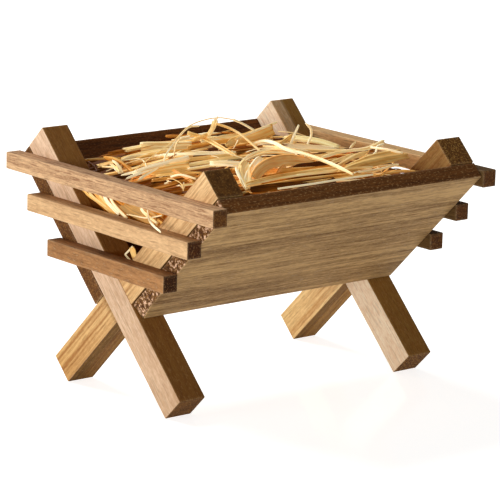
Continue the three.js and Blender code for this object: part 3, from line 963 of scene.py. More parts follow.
@dataclass
class SideBoards:
    """The two long boards that close the trough's sides. The front one's left end is torn by the saw.

    A rate is how fast the noise that tears it changes up the board and through it, and the level at which
    the noise is read.
    """

    wood: Woodwork
    body: str = "manger"
    slot: str = "board_wood"
    front_seed: int = 21
    back_seed: int = 34
    torn_reach: float = 3.5
    torn_height: float = 46.0
    torn_fade: float = 0.7
    torn_depth: float = 0.55
    coarse_tear: float = 0.9
    coarse_rate: Point = (0.55, 0.75, 7.0)
    fine_tear: float = 0.5
    fine_rate: Point = (1.7, 1.9, 3.0)
    whole_depth: float = 0.1
    corner_height: float = 7.0
    corner_depth: float = 1.6
    cuts_near_end: tuple[float, ...] = (1.4, 1.9, 2.5, 3.2, 4.2)

    def build(self) -> None:
        """Makes both boards."""
        front = WoodFinish(
            light=display(206, 167, 112), dark=display(122, 88, 50), ring_pitch=4.3, ring_share=0.15,
            zone_share=1.0, streak_share=1.3, fibre_share=1.6, line_share=0.9, speck_share=1.6,
            pore_share=0.35, dust_share=0.4, stained=(0.35, 0.18, 0.05, 1.0), dot_share=0.7, torn=0.9,
            pith=(-52.0, 30.0),
        )
        back = replace(front, torn=0.0, dot_share=0.2)
        # Painted shade by side: the front board's top edge and inner face, the back board's inner face, which
        # is turned up to the front, and its top edge; the ends also take it as oil.
        front_shade_and_oil = {Side.Y_HIGH: 0.95, Side.Z_LOW: 0.8, Side.END_LOW: 0.25}
        back_shade_and_oil = {Side.Z_HIGH: 1.0, Side.Y_HIGH: 0.4, Side.END_LOW: 0.5}
        self._board("front_side_board", Way.FRONT, front, self.front_seed, front_shade_and_oil)
        self._board("back_side_board", Way.BACK, back, self.back_seed, back_shade_and_oil)

    def _board(self, node: str, way: Way, finish: WoodFinish, seed: int, stains: dict[Side, float]) -> None:
        """Makes one board.

        Args:
            node: The node that it stands for.
            way: The side that it closes.
            finish: Its wood.
            seed: Where its wood was sawn.
            stains: How dark each face is painted, as shade, and as oil on the sawn ends.
        """
        wood = self.wood
        width = wood.leg_above_lap - wood.board_face
        up = (0.0, way * math.cos(wood.lean), math.sin(wood.lean))
        out = (0.0, way * math.sin(wood.lean), -math.cos(wood.lean))
        rise = wood.leg_above_lap - width / 2
        off = wood.board_face + wood.board_thickness / 2
        origin = (0.0, up[1] * rise + out[1] * off, wood.lap_height + up[2] * rise + out[2] * off)
        size = (wood.trough_length, width, wood.board_thickness)
        piece = SawnPiece(
            f"{node}_sawn", size, placed((1.0, 0.0, 0.0), up, origin), finish, seed, stains,
            pitch=(3.0, 1.2, 1.1), extra_cuts=tuple(n - wood.trough_length / 2 for n in self.cuts_near_end),
            shape=self._splintered if way is Way.FRONT else None,
        ).build()
        dress(piece, (node,), self.body)

    def _splintered(self, points: np.ndarray) -> np.ndarray:
        """Tears the lower part of the left end, as a coarse saw leaves it.

        Args:
            points: The piece's points.

        Returns:
            The same points, moved.
        """
        half_length = self.wood.trough_length / 2
        half_width = (self.wood.leg_above_lap - self.wood.board_face) / 2
        thickness = self.wood.board_thickness
        for point in points:
            from_end = point[0] + half_length
            from_foot = point[1] + half_width
            if from_end > self.torn_reach:
                continue
            coarse, fine = (
                noise.noise(Vector((point[1] * across, point[2] * deep, level)))
                for across, deep, level in (self.coarse_rate, self.fine_rate)
            )
            low = max(0.0, 1 - from_foot / self.torn_height) ** self.torn_fade
            tear = self.torn_depth + self.coarse_tear * max(0.0, coarse) + self.fine_tear * fine
            outward = max(0.0, (point[2] + thickness / 2) / thickness)
            corner = max(0.0, 1 - from_foot / self.corner_height) * outward
            bite = max(0.0, low * tear - self.whole_depth) + self.corner_depth * corner
            point[0] += bite * (1 - from_end / self.torn_reach)
        return points


@dataclass
class Slats:
    """Three slats across the outer face of each end frame.

    The end shade reach says where a slat's front end starts to take its painted shadow, and where it has all
    of it.
    """

    wood: Woodwork
    body: str = "manger"
    slot: str = "slat_wood"
    pale_stain: float = 0.8
    pale_seed_step: int = 2
    foot_reach: Pair = (18.0, 9.0)
    ease: float = 0.4

    def build(self) -> None:
        """Makes all six slats, each in the place that its node has."""
        pink = WoodFinish(
            light=display(220, 180, 136), dark=display(132, 86, 54), pore=display(118, 70, 44),
            pore_share=0.6, fibre_share=1.5, streak_share=1.2, speck_share=1.6, dust_share=0.5,
        )
        # The right slats' front ends take a painted shadow, where the legs and side board shade them.
        pale = WoodFinish(
            light=display(244, 206, 150), dark=display(176, 128, 80), pore_share=0.4, fibre_share=0.8,
            streak_share=1.0, dust_share=0.2, foot=(0.15, 0.12, 0.065, 1.0),
        )
        yellow = WoodFinish(
            light=display(224, 184, 136), dark=display(168, 124, 82), pore_share=0.25, fibre_share=0.9,
            streak_share=0.8, mottle_share=0.9, speck_share=1.7, dust_share=0.3,
            stained=(0.34, 0.21, 0.065, 1.0),
        )
        mottled = WoodFinish(
            light=display(176, 126, 78), dark=display(108, 70, 38), pore_share=0.3, fibre_share=0.9,
            streak_share=0.8, mottle_share=1.3, speck_share=1.9, dust_share=0.3,
            stained=(0.24, 0.155, 0.06, 1.0),
        )
        rows = (("top", pink, 0.6, 58), ("middle", yellow, 1.0, 67), ("bottom", mottled, 1.0, 67))
        for row, finish, end_shade_and_oil, seed in rows:
            self._slat(f"left_{row}_slat", finish, end_shade_and_oil, seed)
            self._slat(f"right_{row}_slat", pale, self.pale_stain, seed + self.pale_seed_step)

    def _slat(self, node: str, finish: WoodFinish, end_shade_and_oil: float, seed: int) -> None:
        """Makes one slat.

        Args:
            node: The node that it stands for.
            finish: Its wood.
            end_shade_and_oil: How dark its front end is painted, as shade and as oil in its end grain.
            seed: Where its wood was sawn.
        """
        low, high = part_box(node)
        middle = (low + high) / 2 / MM
        length = (high.y - low.y) / MM
        stock = self.wood.slat_stock
        # Painted shade by side: the top, the underside and both ends; on the ends it also stands for oil.
        stains = {Side.Y_HIGH: 0.25, Side.Y_LOW: 0.4, Side.END_LOW: end_shade_and_oil, Side.END_HIGH: 0.5}
        finish = replace(finish, foot_span=tuple(reach - length / 2 for reach in self.foot_reach))
        piece = SawnPiece(
            f"{node}_sawn", (length, stock, stock), placed((0.0, 1.0, 0.0), (0.0, 0.0, 1.0), tuple(middle)),
            finish, seed, stains, pitch=(2.0, 1.2, 1.2), ease=self.ease,
        ).build()
        dress(piece, (node,), self.body)


@dataclass
class FloorStrip:
    """The bevelled strip that closes the trough's floor."""

    wood: Woodwork
    node: str = "floor_strip"
    body: str = "manger"
    slot: str = "board_wood"
    seed: int = 77

    def build(self) -> None:
        """Makes the strip with its bevelled edges."""
        low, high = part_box(self.node)
        size = (high - low) / MM
        middle = (high + low) / 2 / MM

        def bevel(points: np.ndarray) -> np.ndarray:
            """Draws the underside in, so that each edge lies along its side board.

            Args:
                points: The piece's points.

            Returns:
                The same points, moved.
            """
            drop = (size.z / 2 - points[:, 2]) / math.tan(self.wood.lean)
            points[:, 1] *= (size.y / 2 - drop) / (size.y / 2)
            return points

        finish = WoodFinish(light=display(180, 140, 98), dark=display(118, 84, 54))
        piece = SawnPiece(
            "floor_strip_sawn", tuple(size), placed((1.0, 0.0, 0.0), (0.0, 1.0, 0.0), tuple(middle)),
            finish, self.seed, shape=bevel,
        ).build()
        dress(piece, (self.node,), self.body)


# Straw


RING = 6  # Points in each ring of a loose stalk's solid.
FEWEST = 5  # Points along a stalk's line.


@dataclass
class Stalk:
    """One flattened stalk of straw: its route, its section and its colour.

    Turn, torn and taper hold a value for each end. Turn is in degrees, torn in millimetres, and taper is
    the end's share of the width.
    """

    route: Sequence[Point]
    width: float
    thickness: float = 0.5
    tone: float = 0.4
    turn: Pair = (0.0, 0.0)
    torn: Pair = (0.4, 0.4)
    curl: float = 0.12
    taper: Pair = (0.9, 0.9)
    tint: float = 0.0
    seed: int = 0


def swung(n: int, middle: float, reach: float, rate: float) -> float:
    """A size that swings round its middle from one stalk of a row to the next."""
    return middle + reach * math.sin(n * rate)


def lengths_along(line: np.ndarray) -> np.ndarray:
    """How far along a line each of its points lies."""
    return np.concatenate([[0.0], np.cumsum(np.linalg.norm(np.diff(line, axis=0), axis=1))])


def smooth_route(route: Sequence[Point], pitch: float, steps: int = 12) -> np.ndarray:
    """A smooth line through a route's points, evenly divided.

    Args:
        route: At least two points.
        pitch: About how far apart the new points are.
        steps: How finely each stretch is measured.

    Returns:
        The new points, at least five.
    """
    points = np.array(route, float)
    ends = (2 * points[0] - points[1], 2 * points[-1] - points[-2])
    padded = np.vstack([ends[0], points, ends[1]])
    fine = []
    for i in range(1, len(padded) - 2):
        p0, p1, p2, p3 = padded[i - 1 : i + 3]
        bend, swing = 2 * p0 - 5 * p1 + 4 * p2 - p3, 3 * p1 - p0 - 3 * p2 + p3
        for t in np.linspace(0, 1, steps, endpoint=False):
            fine.append(0.5 * (2 * p1 + (p2 - p0) * t + bend * t**2 + swing * t**3))
    fine = np.array([*fine, padded[-2]])
    way = lengths_along(fine)
    wanted = np.linspace(0, way[-1], max(FEWEST, int(way[-1] / pitch) + 1))
    return np.stack([np.interp(wanted, way, fine[:, k]) for k in range(3)], axis=1)


def straw_piece(
    name: str,
    points: np.ndarray,
    faces: list[tuple[int, ...]],
    marks: dict[str, np.ndarray],
    material: bpy.types.Material,
) -> bpy.types.Object:
    """Makes a piece of straw.

    Args:
        name: Its name.
        points: Its points, in millimetres.
        faces: Its faces.
        marks: What the finish reads at each point: its place along and across a stalk as "lay", and its
            "tone" and "tint".
        material: Its finish.

    Returns:
        The new object.
    """
    mesh = bpy.data.meshes.new(name)
    mesh.from_pydata((points * MM).tolist(), [], faces)
    mesh.attributes.new("lay", "FLOAT_VECTOR", "POINT").data.foreach_set("vector", marks["lay"].ravel())
    for mark in ("tone", "tint"):
        mesh.attributes.new(mark, "FLOAT", "POINT").data.foreach_set("value", marks[mark])
    mesh.materials.append(material)
    return add_object(name, mesh)


@dataclass
class Sheaf:
    """Stalks that are gathered into one mesh.

    Over is how many points lie across a stalk's upper side, with as many across its lower side. Pitch is
    how far apart its rings are. Ribs, wobbles and phases are the limits of random draws.
    """

    over: int
    pitch: float
    fullness: float = 0.92
    rib_height: float = 0.35
    ribs: Pair = (5.0, 9.0)
    taper_share: float = 0.12
    wobble: float = 0.1
    wobbles: Pair = (3.0, 9.0)
    phases: Pair = (0.0, 6.0)
    curl_level: float = 0.4
    seed_step: float = 1.37
    steep: float = 0.2
    points: list[np.ndarray] = field(default_factory=list)
    faces: list[tuple[int, ...]] = field(default_factory=list)
    marks: dict[str, list[np.ndarray]] = field(default_factory=lambda: {"lay": [], "tone": [], "tint": []})
    count: int = 0

    def add(self, stalk: Stalk) -> None:
        """Adds one stalk's skin.

        Args:
            stalk: The stalk.
        """
        dice = np.random.default_rng(stalk.seed)
        centre = smooth_route(stalk.route, self.pitch)
        along = np.gradient(centre, axis=0)
        along /= np.linalg.norm(along, axis=1, keepdims=True)
        aside = self._asides(along)
        share = np.linspace(0, 1, len(centre))
        angle = np.radians(np.interp(share, (0, 1), stalk.turn))[:, None]
        over = np.cross(along, aside)
        flat = aside * np.cos(angle) + over * np.sin(angle)
        out = over * np.cos(angle) - aside * np.sin(angle)

        u = np.linspace(-1, 1, self.over + 1)
        ring_u = np.concatenate([u[:-1], u[::-1][:-1]])
        upper = np.concatenate([np.ones(self.over), -np.ones(self.over)])
        belly = np.sqrt(np.clip(1 - ring_u**2 * self.fullness, 0, 1)) * upper
        ribs = self.rib_height * np.sin(ring_u * dice.uniform(*self.ribs) + dice.uniform(*self.phases))
        places = (0, self.taper_share, 1 - self.taper_share, 1)
        taper = np.interp(share, places, (stalk.taper[0], 1, 1, stalk.taper[1]))
        wave = np.sin(share * dice.uniform(*self.wobbles) + dice.uniform(*self.phases))
        half = stalk.width / 2 * taper * (1 + self.wobble * wave)
        curl = stalk.curl * stalk.width * (ring_u**2 - self.curl_level)
        lift = stalk.thickness / 2 * (belly + ribs)[None, :] + curl[None, :]
        skin = centre[:, None, :] + flat[:, None, :] * (half[:, None] * ring_u)[:, :, None]
        skin = skin + out[:, None, :] * lift[:, :, None]
        for end, torn in zip((0, -1), stalk.torn):
            ragged = dice.uniform(-1, 1, self.over + 1) * torn
            skin[end] += along[end] * np.interp(ring_u, u, ragged)[:, None]
        self._close(skin, stalk, share, ring_u)

    def _close(self, skin: np.ndarray, stalk: Stalk, share: np.ndarray, ring_u: np.ndarray) -> None:
        """Joins a stalk's rings, closes both its ends and keeps what the finish reads.

        Args:
            skin: The rings' points.
            stalk: The stalk.
            share: How far along the stalk each ring is, from 0 to 1.
            ring_u: How far across the stalk each point of a ring is, from -1 to 1.
        """
        rings, size = skin.shape[:2]
        base = self.count
        for i in range(rings - 1):
            for j in range(size):
                a, b = base + i * size + j, base + i * size + (j + 1) % size
                self.faces.append((a, a + size, b + size, b))
        first, last = base + rings * size, base + rings * size + 1
        top = base + (rings - 1) * size
        for j in range(size):
            following = (j + 1) % size
            self.faces.append((first, base + j, base + following))
            self.faces.append((last, top + following, top + j))
        lay = np.empty((rings, size, 3))
        lay[:, :, 0] = (share * lengths_along(skin.mean(axis=1))[-1])[:, None]
        lay[:, :, 1] = (ring_u * stalk.width / 2)[None, :]
        lay[:, :, 2] = stalk.seed * self.seed_step
        caps = np.array([lay[0].mean(axis=0), lay[-1].mean(axis=0)])
        self.points += [skin.reshape(-1, 3), skin[[0, -1]].mean(axis=1)]
        self.marks["lay"] += [lay.reshape(-1, 3), caps]
        total = rings * size + 2
        self.marks["tone"].append(np.full(total, stalk.tone))
        self.marks["tint"].append(np.full(total, stalk.tint))
        self.count += total

    def _asides(self, along: np.ndarray) -> np.ndarray:
        """A level direction across the route at each point, carried along where the route is steep.

        Args:
            along: The route's direction at each point.

        Returns:
            The directions.
        """
        aside = np.cross(np.array((0.0, 0.0, 1.0)), along[0])
        if np.linalg.norm(aside) < self.steep:
            aside = np.array((1.0, 0.0, 0.0))
        found = []
        for way in along:
            aside = aside - way * (aside @ way)
            aside = aside / np.linalg.norm(aside)
            found.append(aside)
        return np.array(found)

    def build(self, name: str, material: bpy.types.Material) -> bpy.types.Object:
        """Makes the mesh.

        Args:
            name: The piece's name.
            material: Its finish.

        Returns:
            The new object.
        """
        marks = {mark: np.concatenate(values) for mark, values in self.marks.items()}
        piece = straw_piece(name, np.concatenate(self.points), self.faces, marks, material)
        piece.data.polygons.foreach_set("use_smooth", [True] * len(self.faces))
        return piece


@dataclass
class Heap:
    """How high the straw lies, on a square grid, while stalks are laid on it.

    Start is the grid's low corner, and extent is how far it reaches along X and Y. No stalk comes
    closer to the boards and legs than the rooms say, and the corner fields bound the low corner whose
    straw is painted dark as shade.
    """

    wood: Woodwork
    step: float = 1.0
    start: Pair = (-62.0, -56.0)
    extent: Pair = (125.0, 113.0)
    above_all: float = 200.0
    beside_bed: float = 76.0
    headroom: float = 0.5
    below_roof: float = 0.3
    smoothings: int = 3
    typical_height: float = 84.0
    board_room: float = 1.2
    end_room: float = 60.5
    leg_room: Pair = (49.5, 33.0)
    corner_reach: float = -26.0
    corner_edge: float = 37.0
    corner_bend: float = -38.0
    corner_slope: float = 0.8

    def __post_init__(self) -> None:
        """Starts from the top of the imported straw."""
        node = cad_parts["straw_bed"]
        corners = [v.co.copy() for v in node.data.vertices]
        tree = BVHTree.FromPolygons(corners, [tuple(p.vertices) for p in node.data.polygons])
        columns, rows = (int(reach / self.step) for reach in self.extent)
        self.level = np.full((columns, rows), self.beside_bed)
        self.ceiling = np.full((columns, rows), self.above_all)
        for i in range(columns):
            for j in range(rows):
                x, y = self.start[0] + i * self.step, self.start[1] + j * self.step
                above = Vector((x * MM, y * MM, self.above_all * MM))
                hit = tree.ray_cast(above, Vector((0.0, 0.0, -1.0)))[0]
                if hit is not None:
                    self.level[i, j] = hit.z / MM
        self.bed = self.level.copy()

    def cells(self, line: np.ndarray, half: float) -> tuple[np.ndarray, np.ndarray, np.ndarray]:
        """The grid cells under a stalk.

        Args:
            line: The stalk's line.
            half: Half its width.

        Returns:
            Each cell's column, its row, and which point of the line it belongs to.
        """
        way = line[-1, :2] - line[0, :2]
        across = np.array((-way[1], way[0])) / max(TINY, float(np.linalg.norm(way)))
        offsets = np.linspace(-half, half, max(1, int(2 * half / self.step) + 1))
        spots = line[:, None, :2] + across[None, None, :] * offsets[None, :, None]
        columns, rows = (
            np.clip(np.round((spots[..., k] - self.start[k]) / self.step).astype(int), 0, count - 1)
            for k, count in enumerate(self.level.shape)
        )
        owner = np.repeat(np.arange(len(line))[:, None], len(offsets), axis=1)
        return columns.ravel(), rows.ravel(), owner.ravel()

    def rest(self, line: np.ndarray, half: float, stiff: float) -> np.ndarray | None:
        """Lays a level line down on the heap.

        Args:
            line: The stalk's line. Its heights aren't read.
            half: Half the stalk's width.
            stiff: From 0, which follows every hollow, to 1, which bridges them.

        Returns:
            The line's heights, or None where something above is in the way.
        """
        i, j, owner = self.cells(line, half)
        under = np.full(len(line), -FAR)
        np.maximum.at(under, owner, self.level[i, j])
        chord = self._chord(lengths_along(line[:, :2]), under)
        if chord is None:
            return None
        height = under + (chord - under) * stiff
        for _ in range(self.smoothings):
            height[1:-1] = np.maximum(under[1:-1], (height[:-2] + height[1:-1] * 2 + height[2:]) / 4)
        top = np.full(len(line), FAR)
        np.minimum.at(top, owner, self.ceiling[i, j])
        return None if np.any(height + self.headroom > top) else height

    @staticmethod
    def _chord(way: np.ndarray, under: np.ndarray) -> np.ndarray | None:
        """The straight line that a stiff stalk takes, held up on both sides of its middle.

        Args:
            way: How far along the stalk each point is.
            under: How high the heap is there.

        Returns:
            The straight line's heights, or None if no two points can hold the stalk.
        """
        middle = way[-1] / 2
        best = None
        for a in range(len(way)):
            for b in range(a + 1, len(way)):
                if way[a] <= middle <= way[b]:
                    slope = (under[b] - under[a]) / (way[b] - way[a])
                    chord = under[a] + slope * (way - way[a])
                    short = float((under - chord).max())
                    if best is None or short < best[0]:
                        best = (short, chord)
        return None if best is None else best[1] + max(0.0, best[0])

    def lay(self, line: np.ndarray, half: float, thickness: float) -> None:
        """Raises the heap under a stalk that now lies on it."""
        i, j, owner = self.cells(line, half)
        np.maximum.at(self.level, (i, j), line[owner, 2] + thickness)

    def above_bed(self, line: np.ndarray, height: np.ndarray) -> float:
        """How far a line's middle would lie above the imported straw.

        Args:
            line: The stalk's line.
            height: The line's heights.

        Returns:
            The distance in millimetres.
        """
        i, j, _ = self.cells(line, 0.0)
        middle = len(height) // 2
        return float(height[middle] - self.bed[i, j][middle])

    def roof(self, route: Sequence[Point], half: float) -> None:
        """Keeps later stalks under one that is already in place.

        Args:
            route: Its route.
            half: Half its width.
        """
        line = smooth_route(route, self.step)
        i, j, owner = self.cells(line, half)
        np.minimum.at(self.ceiling, (i, j), line[owner, 2] - self.below_roof)

    def inside(self, line: np.ndarray, half: float) -> bool:
        """Whether a stalk stays off the side boards, slats and legs.

        Args:
            line: The stalk's line.
            half: Half its width.

        Returns:
            True if it does.
        """
        x, y = np.abs(line[:, 0]), np.abs(line[:, 1])
        width = self.wood.half_width(self.typical_height) - self.board_room - half
        by_leg = (x > self.leg_room[0]) & (y > self.leg_room[1])
        return not (np.any(y > width) or np.any(x > self.end_room) or np.any(by_leg))

    def in_corner(self, line: np.ndarray) -> bool:
        """Whether a line reaches the back left corner, where the fill is low and painted dark as shade."""
        edge = self.corner_edge + np.minimum(0.0, line[:, 0] - self.corner_bend) * self.corner_slope
        return bool(np.any((line[:, 0] < self.corner_reach) & (line[:, 1] > edge)))


@dataclass(frozen=True)
class Layer:
    """Loose stalks that are strewn on the fill, most of them along the trough.

    Headings and turns are in degrees. Turn and twist each hold a mean and a spread. A bow is a share of
    the stalk's length.
    """

    name: str
    tries: int
    lengths: Pair
    widths: Pair
    tone: float
    tone_spread: float
    heading_spread: float = 13.0
    strays: float = 0.12
    stiffness: float = 0.8
    heading: float = 3.0
    stray_heading: float = 75.0
    width_skew: float = 1.5
    across_x: Pair = (-58.0, 58.0)
    across_y: Pair = (-51.0, 51.0)
    bow: float = 0.05
    turn: Pair = (12.0, 16.0)
    twist: Pair = (0.0, 14.0)
    curls: Pair = (-0.1, 0.2)
    torn: Pair = (0.8, 0.8)
    taper: Pair = (0.7, 0.7)
    tint_shares: tuple[float, ...] = (0, 0.12, 0.14, 0.92, 0.94, 1)
    tints: tuple[float, ...] = (-0.9, -0.9, 0, 0, 0.5, 0.5)
    thickness: float = 0.3
    thickness_by_width: float = 0.1
    gap: float = 0.1
    first_seed: int = 1000


UNDER_LAYER = Layer("straw_under_layer", 520, (16.0, 60.0), (1.0, 3.8), tone=0.63, tone_spread=0.3)
OVER_LAYER = Layer(
    "straw_over_layer", 130, (12.0, 50.0), (0.6, 2.6), tone=0.26, tone_spread=0.24, heading_spread=17.0,
    strays=0.16, stiffness=0.85,
)


@dataclass(frozen=True)
class Fibres:
    """Fine fibres that arch over the fill. The room is what each keeps free on both its sides."""

    name: str = "straw_fibres"
    tries: int = 90
    lengths: Pair = (8.0, 30.0)
    heading: float = 80.0
    across_x: Pair = (-54.0, 56.0)
    across_y: Pair = (-48.0, 48.0)
    bow: float = 0.12
    rises: Pair = (0.4, 2.0)
    widths: Pair = (0.35, 0.75)
    tones: Pair = (0.0, 0.35)
    room: float = 0.4
    stiffness: float = 0.9
    gap: float = 0.3
    thickness: float = 0.35
    torn: Pair = (0.1, 0.1)
    first_seed: int = 2000


@dataclass
class StrawFill:
    """The loose straw: a packed bed, the broad stalks on it, thin stalks and fibres.

    Tones run from 0, which is cream, to 1, which is brown. A tone above 1 stays brown nearly all over. A
    row says where the first stalk over one end of the fill lies, and how far apart they are.
    """

    wood: Woodwork
    finish: StrawFinish = StrawFinish()
    under: Layer = UNDER_LAYER
    over: Layer = OVER_LAYER
    fibres: Fibres = Fibres()
    body: str = "straw"
    slot: str = "straw"
    seed: int = 12

    settled: float = 1.4
    bed_sink: float = 0.4
    mat_height: float = 0.5
    mat_rate: Pair = (0.12, 0.6)
    mat_level: float = 2.0
    end_draw: float = 3.5
    end_draw_reach: float = 12.0
    bed_lay: Point = (0.7, 1.6, 5.0)
    bed_tone: float = 0.86
    flank_tone: float = 0.6
    flank_depth: float = 9.0

    # The back left corner's straw is painted dark, as the shade there.
    corner: Pair = (-36.0, 16.0)
    corner_highest: float = 82.5
    corner_tone: float = 1.15
    corner_bed_darker: float = 0.15
    highest: float = 90.0
    # Stalks that lie low in the heap are painted darker, as the shade between stalks.
    deep_tone: float = 0.11
    deep_below: float = 3.0
    right_paler: float = 0.13
    right_span: Pair = (0.0, 20.0)

    cast_pitch: float = 3.0
    stalks: int = 35
    end_numbers: tuple[int, ...] = (32, 33, 34, 35)
    broad_tones: tuple[float, ...] = (
        0.7, 0.5, 0.75, 0.6, 0.72, 0.5, 0.45, 0.35, 0.4, 0.45, 0.36, 0.3, 0.32, 0.5, 0.82,
    )
    broad_seed: int = 300
    end_stalks: int = 16
    left_row: Pair = (24.0, 2.7)
    right_row: Pair = (30.0, 3.1)
    end_tones: tuple[float, ...] = (0.55, 0.8, 0.35, 0.7, 0.9)
    end_seeds: tuple[int, int] = (700, 740)
    lead_seed: int = 601

    def build(self) -> None:
        """Makes the whole fill."""
        self.material = self.finish.material("dry_straw")
        self.heap = Heap(self.wood)
        self.heap.level -= self.settled
        self.dice = np.random.default_rng(self.seed)
        self._bed()
        taken = {number for tuft in TUFTS for number in tuft.numbers} | set(self.end_numbers)
        broad = {number: self._broad(number) for number in range(1, self.stalks + 1) if number not in taken}
        for stalk in broad.values():
            self.heap.roof(stalk.route, stalk.width / 2)
        self._roof_leads()
        self._strew(self.under)
        for number, stalk in broad.items():
            sheaf = Sheaf(over=8, pitch=1.8)
            sheaf.add(stalk)
            self._finish(sheaf, f"{stalk_node(number)}_ribbed", (number,))
            self.heap.lay(smooth_route(stalk.route, pitch=2.0), stalk.width / 2, stalk.thickness)
        self.heap.ceiling[:] = self.heap.above_all
        self._roof_leads()
        self._strew(self.over)
        self._ends()
        self._leads()
        self._arching_fibres()

    def _finish(self, sheaf: Sheaf, name: str, numbers: Sequence[int] = (), body: str = "") -> None:
        """Makes a sheaf's piece and dresses it.

        Args:
            sheaf: Its stalks.
            name: The piece's name.
            numbers: The loose stalks' nodes that it stands for.
            body: What it rides on, where that isn't the straw.
        """
        nodes = [stalk_node(number) for number in numbers]
        dress(sheaf.build(name, self.material), nodes, body or self.body)

    def _roof_leads(self) -> None:
        """Keeps what is strewn below the stalks that stand out."""
        for tuft in TUFTS:
            for stalk in tuft.stalks:
                self.heap.roof(stalk.route, stalk.width / 2)

    def _bed(self) -> None:
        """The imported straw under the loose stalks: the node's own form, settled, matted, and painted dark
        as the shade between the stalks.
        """
        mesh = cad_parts["straw_bed"].data
        points = np.array([v.co for v in mesh.vertices]) / MM
        low, high = points.min(axis=0), points.max(axis=0)
        moved = points.copy()
        for i, point in enumerate(points):
            spot = Vector((point[0] * self.mat_rate[0], point[1] * self.mat_rate[1], self.mat_level))
            rise = (point[2] - low[2]) / (high[2] - low[2])
            moved[i][2] -= (self.settled + self.bed_sink) * rise - self.mat_height * noise.noise(spot)
            moved[i][0] += self.end_draw * max(0.0, 1 - (point[0] - low[0]) / self.end_draw_reach)
        across = points[:, 1] * self.bed_lay[0] + points[:, 2] * self.bed_lay[1]
        in_corner = (points[:, 0] < self.corner[0]) & (points[:, 1] > self.corner[1])
        # The top of the bed is painted dark, as the shade between stalks; its flanks are paler.
        tones = np.where(points[:, 2] < high[2] - self.flank_depth, self.flank_tone, self.bed_tone)
        # The bed in the back left corner is painted darker still, as shade.
        marks = {
            "lay": np.stack([points[:, 0], across, np.full(len(points), self.bed_lay[2])], axis=1),
            "tone": np.where(in_corner, self.corner_tone + self.corner_bed_darker, tones),
            "tint": np.zeros(len(points)),
        }
        faces = [tuple(p.vertices) for p in mesh.polygons]
        piece = straw_piece("straw_bed_matted", moved, faces, marks, self.material)
        dress(piece, ("straw_bed",), self.body)

    def _broad(self, number: int) -> Stalk:
        """A broad stalk along the middle line of its node.

        Args:
            number: The node's number, which also sets its colour.

        Returns:
            The stalk.
        """
        corners = np.array([v.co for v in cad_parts[stalk_node(number)].data.vertices]) / MM
        points = np.unique(np.round(corners, 3), axis=0)
        middle = points.mean(axis=0)
        way = np.linalg.svd(points - middle)[2][0]
        order = np.argsort((points - middle) @ way)
        rings = [points[order[i : i + RING]] for i in range(0, len(order) - RING + 1, RING)]
        route = [tuple(ring.mean(axis=0)) for ring in rings]
        width = float(np.median([np.linalg.norm(np.ptp(ring[:, :2], axis=0)) for ring in rings]))
        return Stalk(
            route[::3] + [route[-1]], width, thickness=0.7,
            tone=self.broad_tones[min(number, len(self.broad_tones)) - 1], torn=(1.0, 0.6), curl=0.14,
            seed=self.broad_seed + number,
        )

    def _cast(self, kind: Layer | Fibres, length: float, heading: float) -> np.ndarray:
        """A level bowed line at a random place.

        Args:
            kind: What is strewn. It says where, and how bowed the line is.
            length: The line's length.
            heading: Its direction from the X axis, in radians.

        Returns:
            The line's points, all at a height of 0.
        """
        x, y = self.dice.uniform(*kind.across_x), self.dice.uniform(*kind.across_y)
        bow = self.dice.normal(0, kind.bow) * length
        share = np.linspace(-0.5, 0.5, max(FEWEST, int(length / self.cast_pitch)))
        along, aside = share * length, bow * np.cos(np.pi * share)
        across = x + along * math.cos(heading) - aside * math.sin(heading)
        deep = y + along * math.sin(heading) + aside * math.cos(heading)
        return np.stack([across, deep, np.zeros(len(share))], axis=1)

    def _strew(self, layer: Layer) -> None:
        """Lays seeded stalks on the heap, one after another.

        Args:
            layer: What is strewn.
        """
        sheaf = Sheaf(over=4, pitch=3.0)
        dice = self.dice
        laid = 0
        for n in range(layer.tries):
            length = dice.uniform(*layer.lengths)
            narrow, wide = layer.widths
            width = narrow + (wide - narrow) * dice.uniform() ** layer.width_skew
            if dice.uniform() < layer.strays:
                heading = dice.uniform(-layer.stray_heading, layer.stray_heading)
            else:
                heading = dice.normal(layer.heading, layer.heading_spread)
            line = self._cast(layer, length, math.radians(heading))
            tone = float(np.clip(dice.normal(layer.tone, layer.tone_spread), 0, 1))
            tint = float(np.interp(dice.uniform(), layer.tint_shares, layer.tints))
            turn, twist = float(dice.normal(*layer.turn)), float(dice.normal(*layer.twist))
            curl = float(dice.uniform(*layer.curls))
            if not self.heap.inside(line, width / 2):
                continue
            corner = self.heap.in_corner(line)
            height = self.heap.rest(line, width / 2, layer.stiffness)
            if height is None or height.max() > (self.corner_highest if corner else self.highest):
                continue
            # Painted shade on stalks that lie low in the heap.
            tone += self.deep_tone * max(0.0, self.deep_below - self.heap.above_bed(line, height))
            tone -= self.right_paler * float(np.interp(line[:, 0].mean(), self.right_span, (0.0, 1.0)))
            # The back left corner's straw is painted dark as shade.
            if corner:
                tone, tint = self.corner_tone, 0.0
            thickness = layer.thickness + layer.thickness_by_width * width
            line[:, 2] = height + thickness / 2
            self.heap.lay(line, width / 2, thickness / 2 + layer.gap)
            sheaf.add(Stalk(
                [tuple(p) for p in line], width, thickness, tone, turn=(turn, turn + twist), torn=layer.torn,
                curl=curl, taper=layer.taper, tint=tint, seed=layer.first_seed + n,
            ))
            laid += 1
        self._finish(sheaf, layer.name)
        log.info("%s: %d stalks laid", layer.name, laid)

